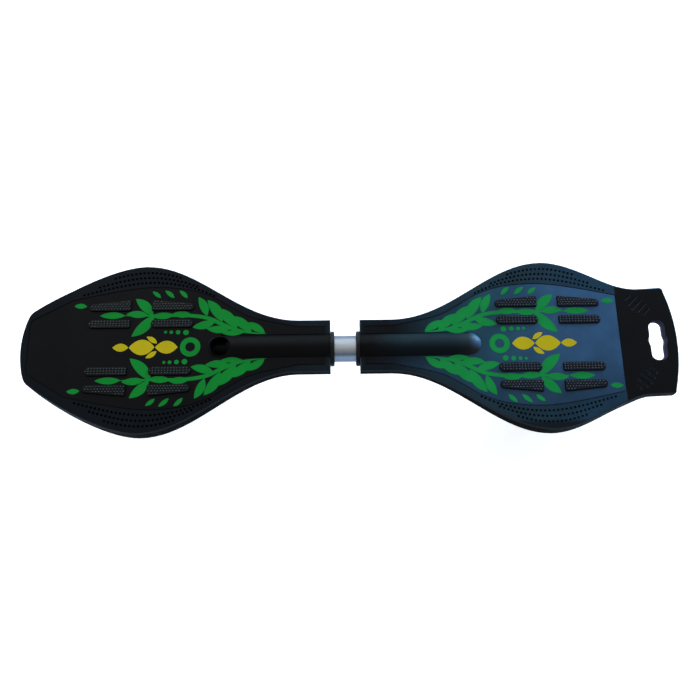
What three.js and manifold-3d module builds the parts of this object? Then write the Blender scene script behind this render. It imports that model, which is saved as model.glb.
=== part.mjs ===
// Caster board: two foot decks on one torsion tube, each standing on an inclined trailing caster.
// Millimetres, +Z up. X runs from the nose (-X) to the tail (+X), and the floor is z = 0.
// The origin is on the floor, below the middle of the board's length and width.
import * as THREE from "three";
import { mergeVertices } from "three/addons/utils/BufferGeometryUtils.js";
import Module from "manifold-3d";

const wasm = await Module();
wasm.setup();

// Whole board. A deck is drawn from the middle of the gap between the necks outwards.
const front_reach = 426;
const rear_reach = 437;
const neck_gap = 39;
const belly_half_width = 117;
const neck_half_width = 36.3;
const belly_at = 268;
const flare_start = 61.5;
const flare_neck_handle = 80;
const flare_belly_handle = 72;
const end_handle = 46;

// Nose of the front deck
const nose_corner_half_width = 50.5;
const nose_corner_back = 12;
const nose_side_handle = 26;
const nose_side_rise = 21.4;
const nose_edge_half_width = 36;
const nose_edge_back = 4.6;
const nose_tip_half_width = 4;
const nose_corner_run = 1.8;
const nose_corner_rise = 6;
const nose_lift = 6;
const nose_kick_back = 61;

// Tail of the rear deck, with its carry handle
const tail_half_width = 74.6;
const tail_waist_back = 41;
const tail_waist_handle = 38;
const tail_corner_back = 9.5;
const tail_corner_radius = 6;
const tail_tip_half_width = 5;
const tail_lift = 10;
const tail_kick_back = 72;

// Moulding of the decks
const skin = 4;
const wall = 3.2;
const skirt = 24;
const neck_skirt = 12.5;
const tail_skirt = 8;
const tail_skirt_run = 28;
const edge_round = 3.5;
const rib_depth = 10;
const rib_thickness = 2.4;
const rib_offset = 46;
const rib_start = 140;
const rib_behind_boss = 19;
const groove_width = 1.6;
const groove_depth = 0.9;
const panel_edge = 9.8;
const spotface = 3;
const seat_gap = 0.3;
const overrun = 20;
const round_cut_share = 0.293;

// Torsion tube and what holds it
const tube_radius = 17.5;
const tube_wall = 2.5;
const tube_depth = 15;
const tube_in_deck = 130.5;
const ridge_radius = 21.3;
const ridge_centre = 165;
const ridge_end_radius = 15.2;
const housing_radius = 24;
const well_radius = 13;
const well_depth = 27;
const collar_radius = 23.5;
const collar_flange = 5;
const collar_sleeve = 30;
const collar_wall = 1.2;
const plug_flange = 6;
const plug_stub = 14;
const plug_rod_radius = 10;
const plug_rod_end = 178;
const anchor_flange = 11.5;
const lock_screw_at = 60;
const lock_screw_radius = 3;
const lock_screw_reach = 3.5;
const plug_bolt_radius = 4;
const anchor_bolt_radius = 2.5;
const bolt_bite = 5;
const twist_limit_deg = 40;

// Torsion spring inside the tube
const spring_radius = 11;
const spring_wire_radius = 2;
const spring_turns = 13;
const spring_leg = 8;
const spring_bend = 11;

// Raised rubber grip pads
const pad_height = 3;
const pad_pocket = 1.2;
const pad_round = 1;
const near_pad_start = 201.8;
const pad_to_kick = 23.6;
const pad_gap = 28;
const inner_pad_y = 33;
const inner_pad_half_width = 6;
const outer_pad_y = 59.3;
const outer_pad_half_width = 7.9;
const outer_pad_tip_half_width = 5;
const pad_corner = 2.4;
const pad_tip_corner = 4.4;

// Carry slot and grip grooves of the tail
const slot_centre_back = 23;
const slot_half_width = 10.5;
const slot_half_length = 27;
const slot_wave = 1;
const slot_waves = 3;
const slot_wall = 3.2;
const slot_wall_depth = 8;
const slot_lead = 3;
const slot_tail_lead = 5.5;
const grip_grooves = 5;
const grip_groove_width = 3.2;
const grip_groove_depth = 1.2;
const grip_groove_pitch = 7.6;
const grip_groove_centre_back = 45.5;
const grip_groove_centre_y = 52;
const grip_groove_short = 10.5;
const grip_groove_growth = 5.5;
const grip_groove_angle_deg = 45;

// Inclined casters. The swivel axis leans by caster_lean from upright, top towards the nose.
const caster_at = 262;
const caster_lean_deg = 30;
const wheel_radius = 38;
const wheel_half_width = 12;
const tyre_clearance = 6.2;
const boss_drop = 31.306;
const axle_offset = 22;
const boss_radius = 31;
const plate_radius = 29;
const plate_thickness = 3;
const plate_screws = 4;
const plate_screw_circle = 23.6;
const plate_screw_radius = 4.2;
const plate_screw_head = 2.6;
const race_outer_radius = 17;
const race_inner_radius = 8;
const race_thickness = 3;
const ball_radius = 2.4;
const ball_circle = 12.5;
const ball_groove = 1;
const balls = 8;
const cage_half_thickness = 0.6;
const cage_half_width = 2;
const king_radius = 5;
const hex_across = 17;
const king_head = 5.5;
const king_nut = 5;
const fork_half_width = 20;
const fork_thickness = 4;
const fork_crown = 4.5;
const fork_front = 17;
const fork_shoulder = 8;
const fork_toe_radius = 10;

// Wheel set on each fork
const axle_radius = 3.95;
const axle_hex_across = 13;
const axle_head = 5;
const bearing_radius = 11;
const bearing_width = 7;
const bearing_bore = 4.25;
const spacer_radius = 6.5;
const tyre_thickness = 11;
const tyre_shoulder = 4;
const tyre_crown = 1;
const hub_rim = 4.4;
const hub_boss_wall = 3.6;
const hub_web = 3.4;
const hub_windows = 6;
const hub_window_share = 0.68;

// Line round the foot panel, as shares of the way from the flare to the kick and of the belly's half width
const panel_line_shares = [
  [0.193, 0.335],
  [0.292, 0.462],
  [0.381, 0.601],
  [0.489, 0.695],
  [0.621, 0.729],
  [0.736, 0.709],
  [0.868, 0.648],
  [1, 0.574],
];
const panel_corner_share = 0.36;
const panel_nose_share = 0.3;

// Fineness of round shapes
const fine = 36;
const medium = 20;
const coarse = 12;
const small = 8;
const side_steps = 6;
const panel_steps = 10;
const corner_steps = 2;
const turn_steps = 6;
const bend_steps = 4;
const wire_sides = 5;
const ball_sides = 5;
const ball_bands = 3;
const hub_sides = 16;
const weld = 1e-3;

// Worked-out places
const neck_end = neck_gap / 2;
const gap_x = (front_reach - rear_reach) / 2;
const bore_radius = tube_radius + seat_gap;
const sleeve_radius = bore_radius + collar_wall;
const sleeve_bore = sleeve_radius + seat_gap;
const tube_end = neck_end + tube_in_deck;
const nose_kick = front_reach - nose_kick_back;
const tail_kick = rear_reach - tail_kick_back;
const tube_bore = tube_radius - tube_wall;
const stub_radius = tube_bore - seat_gap;
const quarter_turn = Math.PI / 2;
const half_turn = Math.PI;
const full_turn = 2 * Math.PI;

// Heights on the swivel axis, below the slanted face of the deck's boss
const plate_bottom = -seat_gap - plate_thickness;
const upper_race_bottom = plate_bottom - seat_gap - race_thickness;
const ball_z = upper_race_bottom - (ball_radius - ball_groove + seat_gap);
const lower_race_top = 2 * ball_z - upper_race_bottom;
const crown_top = lower_race_top - race_thickness - seat_gap;
const crown_bottom = crown_top - fork_crown;
const nut_bottom = crown_bottom - seat_gap - king_nut;
const king_end = nut_bottom - 4 * seat_gap;
const axle_depth = wheel_radius + tyre_clearance - crown_bottom;

// Heights over the floor
const caster_lean = THREE.MathUtils.degToRad(caster_lean_deg);
const base_z = wheel_radius + axle_depth * Math.cos(caster_lean) - axle_offset * Math.sin(caster_lean);
const platform_z = base_z + boss_drop;
const axis_z = platform_z - tube_depth;
// Finishes
const finish = (color, roughness, metalness = 0) =>
  new THREE.MeshStandardMaterial({ color, roughness, metalness });
const deck_black = finish(0x17171b, 0.42);
const deck_slate = finish(0x2c3444, 0.38);
const grip_rubber = finish(0x111214, 0.85);
const tube_aluminium = finish(0xb9c2cc, 0.32, 0.9);
const moulded_nylon = finish(0x1a1b1e, 0.5);
const zinc_steel = finish(0xa9abab, 0.35, 0.9);
const spring_steel = finish(0x6d6f72, 0.4, 0.9);
const bearing_steel = finish(0xc4c6c9, 0.22, 1);
const wheel_urethane = finish(0x202225, 0.5);
const hub_nylon = finish(0x2a2c30, 0.45);

// Solids. A shape is a closed three.js geometry, and a solid is its form for joining and cutting.

function solid_of(geometry) {
  const bare = geometry.clone();
  bare.deleteAttribute("normal");
  bare.deleteAttribute("uv");
  const merged = mergeVertices(bare, weld);
  const mesh = new wasm.Mesh({
    numProp: 3,
    vertProperties: new Float32Array(merged.attributes.position.array),
    triVerts: new Uint32Array(merged.index.array),
  });
  return new wasm.Manifold(mesh);
}

function geometry_of(solid) {
  const mesh = solid.getMesh();
  const geometry = new THREE.BufferGeometry();
  geometry.setAttribute("position", new THREE.BufferAttribute(mesh.vertProperties, 3));
  geometry.setIndex(new THREE.BufferAttribute(mesh.triVerts, 1));
  return geometry;
}

const join = (solids) => solids.reduce((sum, next) => sum.add(next));
const cut = (solid, tools) => tools.reduce((left, tool) => left.subtract(tool), solid);

// A closed ring of points in plan, run anticlockwise, drawn in or out by a distance
function inset(ring, distance) {
  const count = ring.length;
  const outward = (from, to) => new THREE.Vector2(to.y - from.y, from.x - to.x).normalize();
  return ring.map((point, index) => {
    const before = outward(ring[(index + count - 1) % count], point);
    const after = outward(point, ring[(index + 1) % count]);
    const mitre = before.clone().add(after).divideScalar(1 + before.dot(after));
    return point.clone().addScaledVector(mitre, -distance);
  });
}

// A lofted solid through rings of 3-D points, lowest first. A mirrored ring is capped straight across.
function loft(rings, caps) {
  const count = rings[0].length;
  const positions = rings.flat().flatMap((point) => [point.x, point.y, point.z]);
  const faces = [];
  for (let level = 0; level + 1 < rings.length; level += 1) {
    for (let index = 0; index < count; index += 1) {
      const low = level * count + index;
      const low_next = level * count + ((index + 1) % count);
      faces.push(low, low_next, low_next + count, low, low_next + count, low + count);
    }
  }
  const top = (rings.length - 1) * count;
  for (const [a, b, c] of caps) {
    faces.push(top + a, top + b, top + c, a, c, b);
  }
  const geometry = new THREE.BufferGeometry();
  geometry.setAttribute("position", new THREE.Float32BufferAttribute(positions, 3));
  geometry.setIndex(faces);
  return geometry;
}

function caps_across(count) {
  const caps = [];
  for (let index = 0; index + 1 < count / 2; index += 1) {
    const far = count - 1 - index;
    caps.push([index, index + 1, far - 1], [index, far - 1, far]);
  }
  return caps;
}

// Levels are pairs of how far a ring is drawn in and how high each of its points lies
function deck_loft(ring, levels) {
  const rings = levels.map(([drawn_in, height]) =>
    inset(ring, drawn_in).map((point) => new THREE.Vector3(point.x, point.y, height(point.x))));
  return solid_of(loft(rings, caps_across(ring.length)));
}

function shape_loft(ring, levels) {
  const rings = levels.map(([drawn_in, height]) =>
    inset(ring, drawn_in).map((point) => new THREE.Vector3(point.x, point.y, height(point.x))));
  return loft(rings, THREE.ShapeUtils.triangulateShape(ring, []));
}

// A revolved solid about X, Y or Z from a closed profile of [radius, place along the axis]
function revolve(profile, segments, axis) {
  const closed = [...profile, profile[0]].map(([radius, along]) => new THREE.Vector2(radius, along));
  const geometry = new THREE.LatheGeometry(closed, segments);
  if (axis === "x") {
    geometry.rotateZ(-quarter_turn);
  }
  if (axis === "z") {
    geometry.rotateX(quarter_turn);
  }
  return geometry;
}

const ring_profile = (inner, outer, low, high) => [[inner, low], [outer, low], [outer, high], [inner, high]];

// A rod between two places on an axis through a point
function rod(radius, low, high, segments, axis, through = new THREE.Vector3()) {
  const geometry = new THREE.CylinderGeometry(radius, radius, high - low, segments);
  geometry.translate(0, (high + low) / 2, 0);
  if (axis === "x") {
    geometry.rotateZ(-quarter_turn);
  }
  if (axis === "z") {
    geometry.rotateX(quarter_turn);
  }
  return geometry.translate(through.x, through.y, through.z);
}

const hex_rod = (across, low, high, axis, through) =>
  rod(across / Math.sqrt(3), low, high, 6, axis, through);

function block(low, high) {
  const size = high.clone().sub(low);
  const middle = low.clone().add(high).divideScalar(2);
  return new THREE.BoxGeometry(size.x, size.y, size.z).translate(middle.x, middle.y, middle.z);
}

const at = (x, y, z) => new THREE.Vector3(x, y, z);

// Deck outlines, drawn along +X from the gap with the half width as +Y

function flare(path) {
  path.moveTo(neck_end, neck_half_width);
  path.lineTo(flare_start, neck_half_width);
  path.bezierCurveTo(
    flare_start + flare_neck_handle, neck_half_width,
    belly_at - flare_belly_handle, belly_half_width,
    belly_at, belly_half_width,
  );
  return path;
}

function nose_side() {
  const path = flare(new THREE.Path());
  const corner = front_reach - nose_corner_back;
  path.bezierCurveTo(
    belly_at + end_handle, belly_half_width,
    corner - nose_side_handle, nose_corner_half_width + nose_side_rise,
    corner, nose_corner_half_width,
  );
  path.quadraticCurveTo(
    front_reach - nose_edge_back - nose_corner_run, nose_edge_half_width + nose_corner_rise,
    front_reach - nose_edge_back, nose_edge_half_width,
  );
  path.quadraticCurveTo(
    front_reach, nose_edge_half_width / 2,
    front_reach, nose_tip_half_width,
  );
  return path;
}

function tail_side() {
  const path = flare(new THREE.Path());
  const waist = rear_reach - tail_waist_back;
  const corner = rear_reach - tail_corner_back;
  path.bezierCurveTo(
    belly_at + end_handle, belly_half_width,
    waist - tail_waist_handle, tail_half_width,
    waist, tail_half_width,
  );
  path.lineTo(corner - tail_corner_radius, tail_half_width);
  path.quadraticCurveTo(corner, tail_half_width, corner, tail_half_width - tail_corner_radius);
  path.quadraticCurveTo(
    rear_reach, tail_half_width / 2,
    rear_reach, tail_tip_half_width,
  );
  return path;
}

// Adds a point where a side crosses a station, so that the crease of a lifted end runs straight across
function with_station(points, station) {
  const index = points.findIndex((point) => point.x > station);
  const before = points[index - 1];
  if (station - before.x < weld) {
    return points;
  }
  const crossing = before.clone().lerp(points[index], (station - before.x) / (points[index].x - before.x));
  return [...points.slice(0, index), crossing, ...points.slice(index)];
}

function mirrored_ring(side) {
  const lower = side.map((point) => new THREE.Vector2(point.x, -point.y));
  return [...lower, ...side.slice().reverse()];
}

// Half of the line that parts the foot panel from the dimpled band round it
function panel_side(kick) {
  const neck_y = neck_half_width - panel_edge;
  const along = kick - flare_start;
  const knots = panel_line_shares.map(([far, wide]) =>
    new THREE.Vector2(flare_start + far * along, wide * belly_half_width));
  const start = new THREE.Vector2(flare_start, neck_y);
  const curve = new THREE.SplineCurve([start, ...knots]);
  return [new THREE.Vector2(neck_end + panel_edge, neck_y), ...curve.getPoints(panel_steps)];
}

function nose_panel_side(kick) {
  const inner = front_reach - panel_edge;
  const corner_y = panel_corner_share * belly_half_width;
  const corner = new THREE.Vector2(inner - panel_edge, corner_y);
  const tip = new THREE.Vector2(inner, panel_nose_share * belly_half_width);
  return [...panel_side(kick), corner, tip, new THREE.Vector2(inner, nose_tip_half_width)];
}

// Grip pads, as plan outlines: where a pad starts and ends, its inner edge and its half widths there

function pad_ring({ start, end, inner, start_width, end_width, start_corner, end_corner }, sign) {
  const low = new THREE.Vector2(start, inner);
  const high = new THREE.Vector2(end, inner);
  const high_out = new THREE.Vector2(end, inner + end_width);
  const low_out = new THREE.Vector2(start, inner + start_width);
  const corners = [low, high, high_out, low_out];
  const radii = [start_corner, end_corner, end_corner, start_corner];
  const points = corners.flatMap((corner, index) => {
    const count = corners.length;
    const towards = (next) => corners[next % count].clone().sub(corner).setLength(radii[index]).add(corner);
    const before = towards(index + count - 1);
    const after = towards(index + 1);
    return new THREE.QuadraticBezierCurve(before, corner, after).getPoints(corner_steps);
  });
  const ring = points.filter((point, index) => point.distanceTo(points[(index + 1) % points.length]) > weld);
  return sign > 0 ? ring : ring.map((point) => new THREE.Vector2(point.x, -point.y)).reverse();
}

const inner_width = 2 * inner_pad_half_width;
const outer_width = 2 * outer_pad_half_width;
const tip_width = 2 * outer_pad_tip_half_width;
const round_end = inner_pad_half_width;
const inner_edge = inner_pad_y - inner_pad_half_width;
const outer_edge = outer_pad_y - outer_pad_half_width;
const pad_names = ["inner_near", "outer_near", "inner_far", "outer_far"];
const pad_places = pad_names.flatMap((name) => [[name, 1], [name, -1]]);

function pad_shape(name, kick) {
  const far_pad_end = kick - pad_to_kick;
  const length = (far_pad_end - near_pad_start - pad_gap) / 2;
  const near = { start: near_pad_start, end: near_pad_start + length };
  const far = { start: far_pad_end - length, end: far_pad_end };
  const shapes = {
    inner_near: { ...near, inner: inner_edge, start_width: inner_width, end_width: inner_width,
      start_corner: round_end, end_corner: round_end },
    outer_near: { ...near, inner: outer_edge, start_width: tip_width, end_width: outer_width,
      start_corner: pad_tip_corner, end_corner: pad_corner },
    inner_far: { ...far, inner: inner_edge, start_width: inner_width, end_width: inner_width,
      start_corner: pad_corner, end_corner: round_end },
    outer_far: { ...far, inner: outer_edge, start_width: outer_width, end_width: tip_width,
      start_corner: pad_corner, end_corner: pad_tip_corner },
  };
  return shapes[name];
}

const level = (height) => () => height;

function pad(name, sign, kick) {
  const bottom = platform_z - pad_pocket + seat_gap;
  const top = platform_z + pad_height;
  const levels = [[0, level(bottom)], [0, level(top - pad_round)], [pad_round, level(top)]];
  return shape_loft(pad_ring(pad_shape(name, kick), sign), levels);
}

// Decks

// Turns a caster's own upright frame to its lean. Both casters trail towards the tail.
const lean = (geometry, trail) => geometry.rotateY(-caster_lean * trail).translate(caster_at, 0, base_z);

function deck_ribs(reach, kick) {
  const bottom = platform_z - skin - rib_depth;
  const top = platform_z - skin / 2;
  const half = rib_thickness / 2;
  const along = [-rib_offset, rib_offset].map((y) =>
    block(at(rib_start, y - half, bottom), at(kick, y + half, top)));
  const across = [rib_start, caster_at + boss_radius + rib_behind_boss, kick].map((x) =>
    block(at(x - half, -reach, bottom), at(x + half, reach, top)));
  return [...along, ...across].map(solid_of);
}

// How deep the skirt hangs: shallow along the neck, deep at the widest place, and less again past the crease
function skirt_depth(kick, end_skirt) {
  const { smoothstep, lerp } = THREE.MathUtils;
  return (x) => Math.min(
    lerp(neck_skirt, skirt, smoothstep(x, flare_start, belly_at)),
    lerp(skirt, end_skirt, smoothstep(x, kick, kick + tail_skirt_run)),
  );
}

function deck_solid({ side, reach, kick, rise, trail, end_skirt, panel, ridge, bores, extra }) {
  const lift = (x) => Math.max(0, x - kick) * rise / (reach - kick);
  const top = (drop) => (x) => platform_z + lift(x) - drop;
  const ring = mirrored_ring(with_station(side, kick));
  const edge = round_cut_share * edge_round;
  const depth = skirt_depth(kick, end_skirt);
  const outside = deck_loft(ring, [
    [0, (x) => top(depth(x))(x)],
    [0, top(edge_round)],
    [edge, top(edge)],
    [edge_round, top(0)],
  ]);
  const shell = outside.subtract(deck_loft(ring, [[wall, top(skirt + overrun)], [wall, top(skin)]]));
  const inside = deck_loft(ring, [[wall / 2, top(platform_z)], [wall / 2, top(skin / 2)]]);

  const below_top = solid_of(block(at(0, -reach, 0), at(reach, reach, platform_z - skin / 2)));
  const above_axis = solid_of(block(at(0, -reach, axis_z), at(reach, reach, platform_z + housing_radius)));
  const housing_end = ridge_centre + ridge_end_radius + wall;
  const housing = solid_of(rod(housing_radius, neck_end, housing_end, medium, "x", at(0, 0, axis_z)));
  const boss = solid_of(lean(rod(boss_radius, 0, platform_z, medium, "z"), trail));
  const recess = solid_of(lean(hex_recess(), trail));

  const forms = [
    shell,
    housing.intersect(below_top),
    boss.intersect(inside),
    ...deck_ribs(reach, kick).map((rib) => rib.intersect(inside)),
    ridge.intersect(above_axis),
    ...extra.walls(outside, top),
  ];
  const pockets = pad_places.map(([name, sign]) => {
    const pocket = inset(pad_ring(pad_shape(name, kick), sign), -seat_gap);
    const levels = [[0, level(platform_z - pad_pocket)], [0, level(platform_z + overrun)]];
    return solid_of(shape_loft(pocket, levels));
  });
  const groove_levels = (drawn_in, depth) => [[drawn_in, top(depth)], [drawn_in, top(-overrun)]];
  const panel_ring = mirrored_ring(with_station(panel, kick - weld));
  const groove_out = deck_loft(panel_ring, groove_levels(-groove_width / 2, groove_depth));
  const groove_in = deck_loft(panel_ring, groove_levels(groove_width / 2, groove_depth + skin));
  return cut(join(forms), [recess, ...bores, ...pockets, groove_out.subtract(groove_in), ...extra.cuts(top)]);
}

const hex_recess = () =>
  rod(hex_across / Math.sqrt(3) + seat_gap, -overrun, king_head + seat_gap, coarse, "z");

// A bore from below for a screw into the housing, with a flat for its head
function screw_bore(x, radius, tip_z) {
  const flat_z = axis_z - housing_radius + spotface;
  const shank = rod(radius + seat_gap, flat_z - overrun, tip_z, coarse, "z", at(x, 0, 0));
  const head = rod(2 * radius + 2 * seat_gap, flat_z - overrun, flat_z, coarse, "z", at(x, 0, 0));
  return solid_of(shank).add(solid_of(head));
}

function tube_bores(radius, end) {
  const axis = at(0, 0, axis_z);
  const sleeve_end = neck_end + collar_sleeve + seat_gap;
  const sleeve = rod(sleeve_bore, neck_end - overrun, sleeve_end, medium, "x", axis);
  const bore = rod(radius, neck_end - overrun, end, medium, "x", axis);
  return [solid_of(sleeve), solid_of(bore)];
}

const plug_start = tube_end + seat_gap;
const plug_flange_end = plug_start + plug_flange;
const anchor_end = plug_start + anchor_flange;
const anchor_screw_at = plug_start + anchor_flange / 2;
const stub_start = tube_end - plug_stub;

function front_deck() {
  const axis = at(0, 0, axis_z);
  const ridge_rod = rod(ridge_radius, neck_end, ridge_centre + ridge_end_radius, medium, "x", axis);
  const straight = block(at(0, -ridge_radius, 0), at(ridge_centre, ridge_radius, 2 * platform_z));
  const round = rod(ridge_end_radius, 0, 2 * platform_z, medium, "z", at(ridge_centre, 0, 0));
  const ridge = solid_of(ridge_rod).intersect(solid_of(straight).add(solid_of(round)));
  const well = rod(well_radius, platform_z - well_depth, 2 * platform_z, medium, "z", at(ridge_centre, 0, 0));
  const rod_bore = rod(plug_rod_radius + seat_gap, tube_end, plug_rod_end + seat_gap, medium, "x", axis);
  return deck_solid({
    side: nose_side().getPoints(side_steps),
    reach: front_reach,
    kick: nose_kick,
    rise: nose_lift,
    trail: -1,
    end_skirt: skirt,
    panel: nose_panel_side(nose_kick),
    ridge,
    bores: [
      ...tube_bores(bore_radius, plug_flange_end + seat_gap),
      solid_of(rod_bore),
      solid_of(well),
      screw_bore(lock_screw_at, lock_screw_radius, axis_z),
      screw_bore(ridge_centre, plug_bolt_radius, axis_z),
    ],
    extra: { walls: () => [], cuts: () => [] },
  });
}

// The carry slot runs across the tail, with shallow finger waves along both long sides
function slot_ring() {
  const x = rear_reach - slot_centre_back;
  const straight = slot_half_length - slot_half_width;
  const wave = (y) => slot_half_width + slot_wave * Math.cos(slot_waves * half_turn * y / straight);
  const steps = slot_waves * side_steps / 2;
  const edge = Array.from({ length: steps + 1 }, (_, index) => -straight + 2 * straight * index / steps);
  const tail_side_points = edge.map((y) => new THREE.Vector2(x + wave(y), y));
  const neck_side_points = edge.map((y) => new THREE.Vector2(x - wave(y), y)).reverse();
  const end_radius = wave(straight);
  const end = (sign) => Array.from({ length: side_steps - 1 }, (_, index) => {
    const angle = (index + 1) * half_turn / side_steps;
    const across = sign * end_radius * Math.cos(angle);
    return new THREE.Vector2(x + across, sign * (straight + end_radius * Math.sin(angle)));
  });
  return [...tail_side_points, ...end(1), ...neck_side_points, ...end(-1)];
}

// A low wall thickens the tail round the slot
function slot_wall_block(slot, top) {
  const ring = inset(slot, -slot_wall - slot_lead);
  return solid_of(shape_loft(ring, [[0, top(slot_wall_depth)], [0, top(-overrun)]]));
}

// The slot's upper rim is eased all round, and most on the tail side, where the palm lies
function slot_lead_in(slot, top) {
  const middle = rear_reach - slot_centre_back;
  const raise = (ring, drop) => ring.map((point) => at(point.x, point.y, top(drop)(point.x)));
  const eased = inset(slot, -slot_lead).map((point) =>
    new THREE.Vector2(point.x + (point.x > middle ? slot_tail_lead - slot_lead : 0), point.y));
  const caps = THREE.ShapeUtils.triangulateShape(slot, []);
  return solid_of(loft([raise(slot, slot_lead), raise(eased, 0), raise(eased, -overrun)], caps));
}

function grip_groove_cuts(top) {
  const angle = THREE.MathUtils.degToRad(grip_groove_angle_deg);
  const centre = (grip_grooves - 1) / 2;
  const half = grip_groove_width / 2;
  return [-1, 1].flatMap((sign) => Array.from({ length: grip_grooves }, (_, index) => {
    const step = index - centre;
    const length = grip_groove_short + grip_groove_growth * (centre - Math.abs(step));
    const x = rear_reach - grip_groove_centre_back + step * grip_groove_pitch * Math.sin(angle);
    const y = sign * (grip_groove_centre_y - step * grip_groove_pitch * Math.cos(angle));
    const z = top(grip_groove_depth)(x);
    const ring = pad_ring({ start: -length / 2, end: length / 2, inner: -half, start_width: grip_groove_width,
      end_width: grip_groove_width, start_corner: half, end_corner: half }, 1);
    return solid_of(shape_loft(ring, [[0, level(0)], [0, level(overrun)]]))
      .rotate([0, 0, sign * grip_groove_angle_deg])
      .translate([x, y, z]);
  }));
}

function rear_deck() {
  const ridge_rod = rod(ridge_radius, neck_end, ridge_centre, medium, "x", at(0, 0, axis_z));
  const dome = new THREE.SphereGeometry(ridge_radius, medium, small).rotateX(quarter_turn);
  const slot = slot_ring();
  const through = [[0, level(0)], [0, level(2 * platform_z)]];
  return deck_solid({
    side: tail_side().getPoints(side_steps),
    reach: rear_reach,
    kick: tail_kick,
    rise: tail_lift,
    trail: 1,
    end_skirt: tail_skirt,
    panel: panel_side(tail_kick),
    ridge: solid_of(ridge_rod).add(solid_of(dome.translate(ridge_centre, 0, axis_z))),
    bores: [
      ...tube_bores(sleeve_bore, anchor_end + seat_gap),
      screw_bore(lock_screw_at, lock_screw_radius, axis_z),
      screw_bore(anchor_screw_at, anchor_bolt_radius, axis_z),
    ],
    extra: {
      walls: (outside, top) => [slot_wall_block(slot, top).intersect(outside)],
      cuts: (top) => [
        solid_of(shape_loft(slot, through)),
        slot_lead_in(slot, top),
        ...grip_groove_cuts(top),
      ],
    },
  });
}

// Torsion tube, its collars, the plug that fixes it in the front deck and the anchor in the rear deck

function stop_slot() {
  const half_angle = THREE.MathUtils.degToRad(twist_limit_deg)
    + Math.asin((lock_screw_radius + 2 * seat_gap) / tube_radius);
  const inner = tube_bore - tube_wall;
  const outer = tube_radius + tube_wall;
  const sector = new THREE.Shape();
  sector.absarc(0, 0, outer, -quarter_turn - half_angle, -quarter_turn + half_angle, false);
  sector.absarc(0, 0, inner, -quarter_turn + half_angle, -quarter_turn - half_angle, true);
  sector.closePath();
  const width = 2 * (lock_screw_radius + seat_gap);
  const run = { depth: width, bevelEnabled: false, curveSegments: coarse };
  const slot = new THREE.ExtrudeGeometry(sector, run);
  const turn = new THREE.Matrix4().makeBasis(at(0, 1, 0), at(0, 0, 1), at(1, 0, 0));
  return solid_of(slot.applyMatrix4(turn).translate(lock_screw_at - width / 2, 0, 0));
}

function torsion_tube() {
  const tube = solid_of(revolve(ring_profile(tube_bore, tube_radius, -tube_end, tube_end), medium, "x"));
  const lock = rod(lock_screw_radius + seat_gap, -overrun, 0, coarse, "z", at(-lock_screw_at, 0, 0));
  return cut(tube, [stop_slot(), solid_of(lock)]);
}

function collar() {
  const flange_end = neck_end - seat_gap;
  const chamfer = collar_flange / 4;
  return revolve([
    [bore_radius, flange_end - collar_flange],
    [collar_radius - chamfer, flange_end - collar_flange],
    [collar_radius, flange_end - collar_flange + chamfer],
    [collar_radius, flange_end],
    [sleeve_radius, flange_end],
    [sleeve_radius, neck_end + collar_sleeve],
    [bore_radius, neck_end + collar_sleeve],
  ], medium, "x");
}

// Socket for one of the spring's straight legs, in a stub that enters the tube, at an angle from upright
function leg_socket(angle) {
  const place = at(0, spring_radius * Math.sin(angle), spring_radius * Math.cos(angle));
  const radius = spring_wire_radius + seat_gap;
  return solid_of(rod(radius, stub_start - overrun, stub_start + spring_leg, small, "x", place));
}

function front_plug() {
  const stub = rod(stub_radius, stub_start, plug_start + plug_flange / 2, medium, "x");
  const flange = rod(tube_radius, plug_start, plug_flange_end, medium, "x");
  const tail = rod(plug_rod_radius, plug_flange_end - plug_flange / 2, plug_rod_end, medium, "x");
  const place = at(ridge_centre, 0, 0);
  const hole = rod(plug_bolt_radius + seat_gap, -overrun, bolt_bite + seat_gap, coarse, "z", place);
  return cut(join([stub, flange, tail].map(solid_of)), [leg_socket(0), solid_of(hole)]);
}

function rear_anchor() {
  const stub = rod(stub_radius, stub_start, plug_start + anchor_flange / 2, medium, "x");
  const flange = rod(sleeve_radius, plug_start, anchor_end, medium, "x");
  const hole_top = bolt_bite - tube_radius + 2 * seat_gap;
  const place = at(anchor_screw_at, 0, 0);
  const hole = rod(anchor_bolt_radius + seat_gap, -2 * overrun, hole_top, coarse, "z", place);
  return cut(join([stub, flange].map(solid_of)), [leg_socket(far_leg_angle()), solid_of(hole)]);
}

// A cap screw pushed up from below to a tip over the tube's axis, its head on the housing's flat
function screw_from_below(radius, tip) {
  const seat = -housing_radius + spotface - seat_gap;
  const shank = rod(radius, seat - radius / 2, tip, coarse, "z");
  const head = rod(2 * radius, seat - radius, seat, coarse, "z");
  const socket = hex_rod(radius * Math.sqrt(3), seat - overrun, seat - radius / 2, "z");
  return solid_of(shank).add(solid_of(head)).subtract(solid_of(socket));
}

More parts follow.
